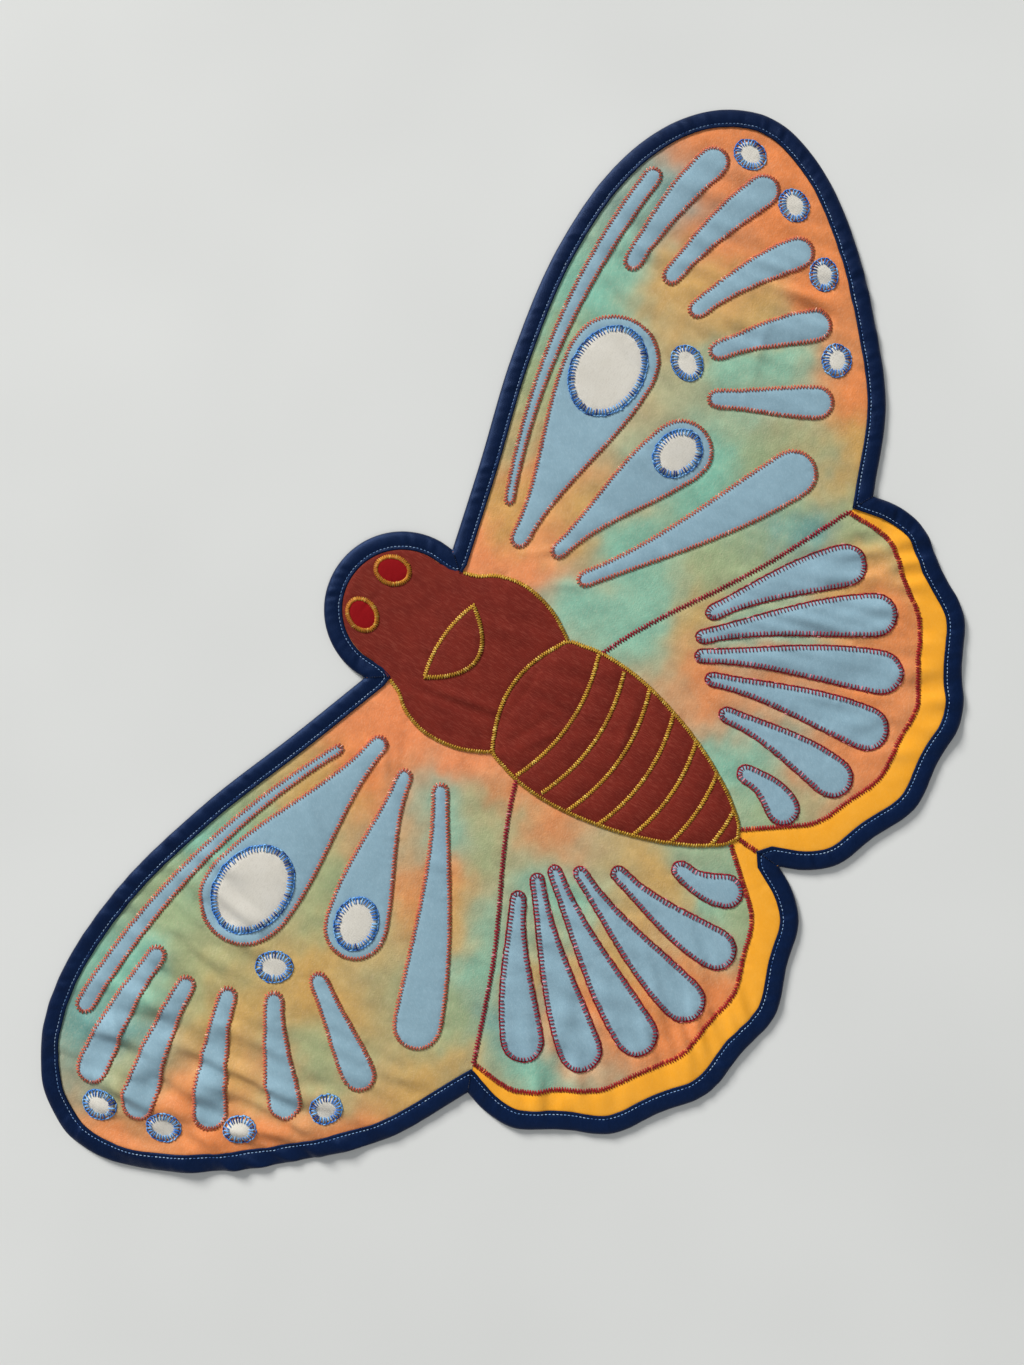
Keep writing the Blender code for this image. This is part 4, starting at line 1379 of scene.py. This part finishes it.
@dataclass
class Wings:
    """The wing panels, the yellow border and the appliques of one side.

    Args:
        side: Which side.
    """

    side: Side
    panel_level: float = 0.0013
    panel_thickness: float = 0.0016
    panel_grain: float = 0.0023
    panel_corner: float = 24.0
    applique_level: float = 0.0030
    top_level: float = 0.0038
    seam_ease: float = 0.0120
    spot_grain: float = 0.0016
    cell_names: tuple[str, ...] = ("costal", "discal", "median", "anal")
    fan_count: int = 5
    petal_count: int = 6
    spot_count: int = 5
    disc_count: int = 2
    panels: list[Cut] = field(init=False)
    cells: list[Cut] = field(init=False)
    petals: list[Cut] = field(init=False)
    spots: list[Cut] = field(init=False)
    discs: list[Cut] = field(init=False)
    seams: dict[str, list[Line]] = field(init=False)

    def __post_init__(self) -> None:
        """Read every edge from the solids and even out the seam of the border."""
        sizes = (self.panel_level, self.panel_thickness, self.panel_grain, 0.0)
        self.panels = [Cut(self.named(stem), cloth, *sizes, corner=self.panel_corner) for stem, cloth in
                       (("forewing", DYED_COTTON), ("hindwing", DYED_COTTON), ("border", YELLOW_SATEEN))]
        forewing, hindwing, border = self.panels
        for line in self.shared_edge(hindwing, border):
            for panel in (hindwing, border):
                panel.shift(line, line.eased(self.seam_ease))
        self.seams = {"wing_seam": self.shared_edge(forewing, hindwing) + self.shared_edge(forewing, border),
                      "border_seam": self.shared_edge(hindwing, border)}
        self.cells = [Cut(self.named(stem), PALE_BLUE, self.applique_level)
                      for stem in (*self.cell_names, *numbered("fan", self.fan_count))]
        self.petals = [Cut(self.named(stem), PALE_BLUE, self.applique_level)
                       for stem in numbered("petal", self.petal_count)]
        self.spots = [Cut(self.named(stem), OFF_WHITE, self.applique_level, grain=self.spot_grain)
                      for stem in numbered("spot", self.spot_count)]
        self.discs = [Cut(self.named(stem), OFF_WHITE, self.top_level) for stem in numbered("disc", self.disc_count)]

    def named(self, stem: str) -> str:
        """A piece's name with its side."""
        return f"{stem}_{self.side.value}"

    def cuts(self) -> list[Cut]:
        """Every cut of cloth, from the lowest up."""
        return self.panels + self.cells + self.petals + self.spots + self.discs

    def shared_edge(self, first: Cut, second: Cut, reach: float = 0.0012) -> list[Line]:
        """The stretches of one cut's edge that lie beside another cut's."""
        return first.edge.stretches(second.nearest.of(first.edge.points)[0] < reach)

    def clip_seams(self, covers: list[Cut], opening: Line) -> None:
        """Leave out the parts of the seams that lie under some cuts or outside an opening.

        Args:
            covers: The cuts that lie over the seams.
            opening: The inner edge of the binding.
        """
        for name, lines in self.seams.items():
            kept = []
            for line in lines:
                clear = ~np.any([cover.edge.holds(line.points) for cover in covers], axis=0)
                clear &= opening.holds(line.points)
                if clear.sum() > FEWEST:
                    kept.append(Line(line.points[clear], False))
            self.seams[name] = kept

    def build(self, lie: Lie) -> list[Piece]:
        """Make every cut."""
        panels = [self.named("forewing"), self.named("hindwing")]
        return [cut.build(lie, ["backing"] if cut in self.panels else panels) for cut in self.cuts()]

    def sew(self, top: Heights) -> None:
        """Sew the appliques and the seams.

        Args:
            top: The height of the cloth at some places.
        """
        for number, (stem, style, lines) in enumerate((
                ("cell_zigzag", RUST_ZIGZAG, [cut.edge for cut in self.cells]),
                ("petal_stitching", BURGUNDY_BARS, [cut.edge for cut in self.petals]),
                ("spot_stitching", BLUE_BARS, [cut.edge for cut in self.spots + self.discs]),
                ("wing_seam_stitching", SEAM_ZIGZAG, self.seams["wing_seam"]),
                ("border_seam_stitching", RED_SATIN, self.seams["border_seam"]))):
            seed = 10 * number + (1 if self.side is Side.LEFT else 2)
            Stitching(self.named(stem), style, lines, seed).sew(top)


@dataclass
class Body:
    """The head with its eyes, the thorax with its collar, and the segmented abdomen."""

    level: float = 0.0032
    on_body_level: float = 0.0045
    thickness: float = 0.0011
    grain: float = 0.0018
    first_segment_y: float = 0.0255
    segment_pitch: float = 0.0210
    segment_count: int = 7
    segment_sag: float = 0.0100
    segment_half_width: float = 0.0500
    puff: float = 0.0010
    front_share: float = 1.76
    shoulder: float = 0.0090
    crown_height: float = 0.0010
    crown_middle_y: float = 0.0915
    crown_reach: tuple[float, float] = (0.062, 0.050)
    joint_clear: tuple[float, float] = (0.0015, 0.0012)  # what is left out at the neck
    neck_y: float = 0.1455
    waist_clear: float = 0.0006
    line_points: int = 241
    fewest_points: int = 12
    front: Cut = field(init=False)
    abdomen: Cut = field(init=False)
    collar: Cut = field(init=False)
    eyes: list[Cut] = field(init=False)
    gold_lines: list[Line] = field(init=False)

    def __post_init__(self) -> None:
        """Read every edge from the solids."""
        self.front = Cut("thorax", RUST_TWILL, self.level, self.thickness, self.grain, crown=self.chest_crown,
                         edge=self.front_edge(), also=("head",))
        self.abdomen = Cut("abdomen", RUST_TWILL, self.level, self.thickness, self.grain, crown=self.segment_crown)
        self.collar = Cut("collar", RUST_TWILL, self.on_body_level, grain=self.grain, crown=self.chest_crown)
        self.eyes = [Cut(f"eye_{side.value}", RED_COTTON, self.on_body_level, grain=0.0014) for side in Side]

    def front_edge(self) -> Line:
        """The edge round the head and the thorax together, without the joint at the neck.

        Returns:
            The closed edge.
        """
        head, thorax = rim_of("head"), rim_of("thorax")
        near_head, near_thorax = Nearest([head]), Nearest([thorax])
        dome = head.points[near_thorax.of(head.points)[0] > self.joint_clear[0]]
        chest = thorax.points[near_head.of(thorax.points)[0] > self.joint_clear[1]]
        return Line(np.vstack((opened(dome), opened(chest))))

    def chest_crown(self, places: np.ndarray) -> np.ndarray:
        """How far padding lifts the thorax and the collar.

        Args:
            places: One row (x, y) for each place.

        Returns:
            The lift at each place.
        """
        x = places[:, 0] / self.crown_reach[0]
        y = (places[:, 1] - self.crown_middle_y) / self.crown_reach[1]
        return self.crown_height * np.maximum(0.0, 1.0 - x ** 2 - y ** 2)

    def segment_crown(self, places: np.ndarray) -> np.ndarray:
        """How far padding lifts the abdomen between its segment lines.

        Args:
            places: One row (x, y) for each place.

        Returns:
            The lift at each place.
        """
        sag = self.segment_sag * (1.0 - (places[:, 0] / self.segment_half_width) ** 2)
        share = (self.first_segment_y - sag - places[:, 1]) / self.segment_pitch
        wave = np.where(share > 0, share, share / self.front_share)
        away = np.minimum(1.0, self.abdomen.nearest.of(places)[0] / self.shoulder)
        return self.puff * away * np.sqrt(np.abs(np.sin(math.pi * wave)))

    def segment_lines(self) -> list[Line]:
        """The arched lines across the abdomen.

        Returns:
            The open lines, from the chest down.
        """
        lines = []
        for row in range(self.segment_count):
            x = np.linspace(-self.segment_half_width, self.segment_half_width, self.line_points)
            sag = self.segment_sag * (1.0 - (x / self.segment_half_width) ** 2)
            places = np.column_stack((x, self.first_segment_y - sag - self.segment_pitch * row))
            inside = places[self.abdomen.edge.holds(places)]
            if len(inside) > self.fewest_points:
                lines.append(Line(inside, False))
        return lines

    def cuts(self) -> list[Cut]:
        """Every cut of cloth, from the lowest up."""
        return [self.front, self.abdomen, self.collar, *self.eyes]

    def chest_sides(self, opening: Line) -> list[Line]:
        """The edge of the thorax on both sides, from the binding's opening to the waist.

        Args:
            opening: The inner edge of the binding.

        Returns:
            The open lines.
        """
        points = self.front.edge.points
        clear = self.abdomen.nearest.of(points)[0] > self.waist_clear
        return self.front.edge.stretches((points[:, 1] < self.neck_y) & clear & opening.holds(points))

    def find_gold_lines(self, opening: Line) -> None:
        """Gather every line that is sewn in gold."""
        self.gold_lines = [self.abdomen.edge, self.collar.edge, *self.segment_lines(), *self.chest_sides(opening)]

    def build(self, lie: Lie) -> list[Piece]:
        """Make every cut."""
        return [cut.build(lie, ["thorax"] if cut.level > self.level else ["forewing_left", "forewing_right"])
                for cut in self.cuts()]

    def sew(self, top: Heights) -> None:
        """Sew the edges, the segments and the eyes."""
        Stitching("body_stitching", GOLD_SATIN, self.gold_lines, 91).sew(top)
        Stitching("eye_stitching", EYE_SATIN, [eye.edge for eye in self.eyes], 92).sew(top)


@dataclass
class Binding:
    """The bias strip folded round the whole edge, a soft C in section that is open to the inside."""

    width: float = 0.0130
    fine: float = 0.0018
    mitre_reach: float = 0.0100
    mitre_limit: float = 1.05
    pleat: float = 0.00080
    pleat_reach: float = 0.0060
    crease: float = 0.00080
    pucker: float = 0.00040
    stitch_depth: float = 0.0106
    flat_height: float = 0.0012
    upper_height: float = 0.0033
    ripple_lengths: tuple[float, ...] = (0.0117, 0.0073, 0.0191)
    change_lengths: tuple[float, ...] = (0.097, 0.061)
    ripple_slant: float = 0.35
    pleat_box: tuple[float, float, float] = (-0.002, 0.024, 0.02)  # from, to, and half its width
    rounding: int = 4  # samples on either side
    fold_samples: int = 24
    fold_start: int = 5
    section: tuple[tuple[float, float], ...] = (
        (0.01300, 0.00340), (0.01292, 0.00385), (0.01240, 0.00412), (0.01170, 0.00414), (0.01100, 0.00405),
        (0.01060, 0.00388), (0.01020, 0.00405), (0.00940, 0.00424), (0.00800, 0.00436), (0.00640, 0.00440),
        (0.00480, 0.00434), (0.00340, 0.00416), (0.00220, 0.00384), (0.00120, 0.00336), (0.00045, 0.00270),
        (0.00005, 0.00195), (0.00020, 0.00120), (0.00085, 0.00050), (0.00190, 0.00012), (0.00350, 0.00000),
        (0.00800, 0.00000), (0.01300, 0.00000), (0.01300, 0.00095), (0.00800, 0.00098), (0.00300, 0.00104),
        (0.00125, 0.00150), (0.00115, 0.00230), (0.00150, 0.00290), (0.00320, 0.00318), (0.00800, 0.00325),
        (0.01230, 0.00322))
    edge: Line = field(init=False)
    steps: np.ndarray = field(init=False)
    notches: np.ndarray = field(init=False)
    corners: list[int] = field(init=False)

    def __post_init__(self) -> None:
        """Read the outer edge and work out the step inwards at each of its points."""
        rim = rim_of("binding")
        self.notches = rim.points[rim.corners()]
        self.edge = rim.smoothed(self.fine)
        points, inward = self.edge.points, -self.edge.outward()
        self.corners = [int(np.argmin(np.linalg.norm(points - notch, axis=1))) for notch in self.notches]
        count = len(points)
        for corner in self.corners:
            before = points[corner] - points[corner - 1]
            after = points[(corner + 1) % count] - points[corner]
            turn = abs(math.atan2(before[0] * after[1] - before[1] * after[0], before @ after))
            spread = min(math.tan(turn / 2), self.mitre_limit)
            for way, run in ((-1, before), (1, -after)):
                towards = run / np.linalg.norm(run)
                square = np.array((-towards[1], towards[0])) * -way
                for k in range(1, int(self.mitre_reach / self.fine) + 2):
                    i = (corner + way * k) % count
                    away = np.linalg.norm(points[i] - points[corner])
                    share = max(0.0, 1.0 - away / self.mitre_reach) ** 2
                    inward[i] = (square if k == 1 else inward[i]) + towards * spread * share
            inward[corner] *= math.sqrt(1.0 + spread ** 2)
        self.steps = inward

    def at_depth(self, depth: float) -> np.ndarray:
        """The outer edge moved inwards."""
        return self.edge.points + self.steps * depth

    def stitch_line(self) -> Line:
        """The line of the topstitching, which rounds the inner corners.

        Returns:
            The closed line.
        """
        points = Line(self.at_depth(self.stitch_depth)).spaced(SAMPLE).points
        steps = range(-self.rounding, self.rounding + 1)
        return Line(np.mean([np.roll(points, k, axis=0) for k in steps], axis=0))

    def pleats(self, places: np.ndarray) -> np.ndarray:
        """How far the folded corners stand up beside their mitres.

        Args:
            places: One row (x, y) for each place.

        Returns:
            The lift at each place.
        """
        start, end, half = self.pleat_box
        total = np.zeros(len(places))
        for notch, corner in zip(self.notches, self.corners):
            heading = self.steps[corner] / np.linalg.norm(self.steps[corner])
            x, y = (places - notch).T
            along, across = x * heading[0] + y * heading[1], y * heading[0] - x * heading[1]
            near = (along > start) & (along < end) & (np.abs(across) < half)
            total += np.where(near & (across >= 0), self.pleat * np.exp(-across / self.pleat_reach), 0.0)
        return total

    def top(self, places: np.ndarray, lie: Lie, heights: np.ndarray, depth: float) -> np.ndarray:
        """The heights of one line of the section once it follows the folds and puckers.

        Args:
            places: Where the line runs.
            lie: How the quilt lies.
            heights: Its heights on flat cloth.
            depth: How far in from the edge it runs.

        Returns:
            Its heights on the folds.
        """
        lifted = heights > self.flat_height
        if not lifted.any():
            return heights
        along = self.edge.distances()[:len(places)]
        slanted = along + self.ripple_slant * depth
        ripple = waves(slanted, self.ripple_lengths, 31) * (0.6 + 0.4 * waves(along, self.change_lengths, 32))
        swell = math.sin(math.pi * min(1.0, depth / self.width))
        upper = heights > self.upper_height
        shape = self.pucker * ripple * swell + self.pleats(places)
        crease = self.crease * min(1.0, 4.0 * (1.0 - depth / self.width))
        for corner in self.corners:
            shape[[corner - 1, (corner + 1) % len(shape)]] += 0.5 * crease
            shape[corner] -= crease
        return heights + lie.lift(places) + upper * shape

    def build(self, lie: Lie) -> Piece:
        """Sweep the section round the edge.

        Args:
            lie: How the quilt lies.

        Returns:
            The piece.
        """
        rings = []
        for depth, height in self.section:
            places = self.at_depth(depth)
            rings.append(np.column_stack((places, self.top(places, lie, np.full(len(places), height), depth))))
        corners = np.stack(rings, axis=1)
        count, size = corners.shape[:2]
        i, j = np.meshgrid(np.arange(count), np.arange(size), indexing="ij")
        after, following = (i + 1) % count, (j + 1) % size
        faces = np.stack((i * size + j, i * size + following, after * size + following, after * size + j), -1)
        piece = piece_of("binding_strip", corners.reshape(-1, 3), faces.reshape(-1, 4).tolist(),
                         NAVY_BINDING.material())
        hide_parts("binding")
        self.edge.length()
        return piece

    def sew(self, top: Heights) -> None:
        """Sew the topstitching.

        Args:
            top: The height of the cloth at some places.
        """
        Stitching("binding_topstitching", TOPSTITCH, [self.stitch_line()], 51).sew(top)
        inner = self.at_depth(self.width)
        mitres = [Line(np.linspace(self.edge.points[i], inner[i], self.fold_samples)[self.fold_start:-1], False)
                  for i in self.corners]
        Stitching("corner_folds", CORNER_FOLD, mitres, 52).sew(top)


@dataclass
class Backing:
    """The plain backing cloth, which lies flat on the ground."""

    spacing: float = 0.0120
    clear: float = 0.006
    cut: Cut = field(init=False)

    def __post_init__(self) -> None:
        """Read the edge from the solid."""
        self.cut = Cut("backing", CALICO, 0.0, 0.0010, 0.0090, 0.0)

    def build(self) -> None:
        """Make the flat sheet."""
        edge = self.cut.edge
        side = filled(edge, staggered(edge, self.spacing, self.clear, self.cut.nearest))
        heights = tuple(np.full(len(side[0]), z) for z in (self.cut.thickness, 0.0))
        piece = sheet_of("backing_cloth", (side, side), heights, self.cut.finish)
        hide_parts("backing")
        self.cut.box(0.0)
        edge.area()


@dataclass
class Quilt:
    """The whole quilt."""

    backing: Backing = field(default_factory=Backing)
    binding: Binding = field(default_factory=Binding)
    wings: list[Wings] = field(default_factory=lambda: [Wings(side) for side in Side])
    body: Body = field(default_factory=Body)
    tail_gap: float = 0.001
    tail_points: int = 12
    tail_half_width: float = 0.004
    tail_overlap: float = 0.0005
    lie: Lie = field(init=False)

    def __post_init__(self) -> None:
        """Gather the stitched lines."""
        opening = Line(self.binding.at_depth(self.binding.width))
        self.body.find_gold_lines(opening)
        lines = self.body.gold_lines + [eye.edge for eye in self.body.eyes] + [self.binding.stitch_line()]
        for wing in self.wings:
            wing.clip_seams([self.body.front, self.body.abdomen], opening)
            lines += [cut.edge for cut in wing.cells + wing.petals + wing.spots + wing.discs]
            lines += [line for seam in wing.seams.values() for line in seam]
        lines.append(self.tail_line())
        self.lie = Lie(lines)

    def tail_line(self) -> Line:
        """The short seam from the abdomen's tip to the tail notch.

        Returns:
            The open line.
        """
        start = self.body.abdomen.edge.points[:, 1].min() - self.tail_gap
        y = np.linspace(start, self.tail_end(), self.tail_points)
        return Line(np.column_stack((np.zeros_like(y), y)), False)

    def tail_end(self) -> float:
        """Where the binding starts at the tail."""
        inner = self.binding.at_depth(self.binding.width)
        return float(inner[np.abs(inner[:, 0]) < self.tail_half_width][:, 1].min()) + self.tail_overlap

    def build(self) -> None:
        """Make and sew everything, from the ground up."""
        self.backing.build()
        pieces = [piece for wing in self.wings for piece in wing.build(self.lie)]
        pieces += [*self.body.build(self.lie), self.binding.build(self.lie)]
        surface = Surface(pieces)
        for wing in self.wings:
            wing.sew(surface.at)
        self.body.sew(surface.at)
        Stitching("tail_stitching", RED_SATIN, [self.tail_line()], 71).sew(surface.at)
        self.binding.sew(surface.at)


@dataclass
class Studio:
    """The table, the light and the camera."""

    target: tuple[float, float, float] = (0.0011, 0.0640, 0.0)
    camera_place: tuple[float, float, float] = (-0.0076, 0.0371, 0.7061)
    picture_up: tuple[float, float, float] = (0.825, 0.564, 0.0)
    lens: float = 18.03
    sensor: float = 24.0
    near_clip: float = 0.05
    table_half: float = 4.0
    table_z: float = -0.0002
    aim: tuple[float, float, float] = (0.0, 0.05, 0.0)
    sky: tuple[float, float, float] = (0.86, 0.91, 0.96)
    sky_strength: float = 0.32

    def lay_table(self) -> None:
        """Lay the quilt on a plain pale table."""
        mesh = bpy.data.meshes.new("table")
        ways = ((-1, -1), (1, -1), (1, 1), (-1, 1))
        mesh.from_pydata([(x * self.table_half, y * self.table_half, self.table_z) for x, y in ways], [],
                         [(0, 1, 2, 3)])
        table = bpy.data.objects.new("table", mesh)
        bpy.context.scene.collection.objects.link(table)
        bench = Bench("pale table")
        cloud = bench.noise(bench.place(), 0.3)
        colour = bench.mix(bench.spread(cloud, 0.3, 0.7), screen(208, 209, 207), screen(214, 215, 213))
        mesh.materials.append(bench.finish(colour, bench.noise(bench.place(), 0.004), 0.000004,
                                           Roughness=0.75, Specular_IOR_Level=0.12))

    def light(self, name: str, place: tuple[float, float, float], size: float, power: float,
              colour: Colour) -> None:
        """Hang a soft square light that faces the quilt.

        Args:
            name: The light's name.
            place: Where it hangs.
            size: The length of its sides.
            power: Its power in watts.
            colour: Its colour.
        """
        data = bpy.data.lights.new(name, "AREA")
        data.size, data.energy, data.color = size, power, colour
        lamp = bpy.data.objects.new(name, data)
        lamp.location = place
        lamp.rotation_mode = "QUATERNION"
        lamp.rotation_quaternion = (Vector(self.aim) - Vector(place)).to_track_quat("-Z", "Y")
        bpy.context.scene.collection.objects.link(lamp)

    def light_room(self) -> None:
        """Window light from beyond the head, and a soft even room."""
        self.light("window", (4.05, 12.10, 6.10), 4.0, 3050.0, (1.0, 0.985, 0.96))
        self.light("room", (-2.0, -2.8, 5.0), 4.0, 60.0, (1.0, 0.98, 0.95))
        world = bpy.data.worlds.new("room")
        world.use_nodes = True
        world.node_tree.nodes["Background"].inputs["Color"].default_value = (*self.sky, 1.0)
        world.node_tree.nodes["Background"].inputs["Strength"].default_value = self.sky_strength
        bpy.context.scene.world = world

    def set_camera(self) -> None:
        """Look down at the quilt from the photograph's place."""
        place = Vector(self.camera_place)
        back = (place - Vector(self.target)).normalized()
        right = Vector(self.picture_up).cross(back).normalized()
        up = back.cross(right)
        data = bpy.data.cameras.new("camera")
        data.sensor_width, data.lens = self.sensor, self.lens
        data.clip_start = self.near_clip
        camera = bpy.data.objects.new("camera", data)
        camera.matrix_world = Matrix.Translation(place) @ Matrix((right, up, back)).transposed().to_4x4()
        bpy.context.scene.collection.objects.link(camera)
        bpy.context.scene.camera = camera
        bpy.context.scene.view_settings.view_transform = "Standard"

    def build(self) -> None:
        """Set up everything that isn't part of the quilt."""
        self.lay_table()
        self.light_room()
        self.set_camera()


def main() -> None:
    """Build the studio and the quilt."""
    logging.basicConfig(level=logging.INFO, format="%(name)s %(message)s")
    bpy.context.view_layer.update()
    Studio().build()
    Quilt().build()


if __name__ == "__main__":
    main()
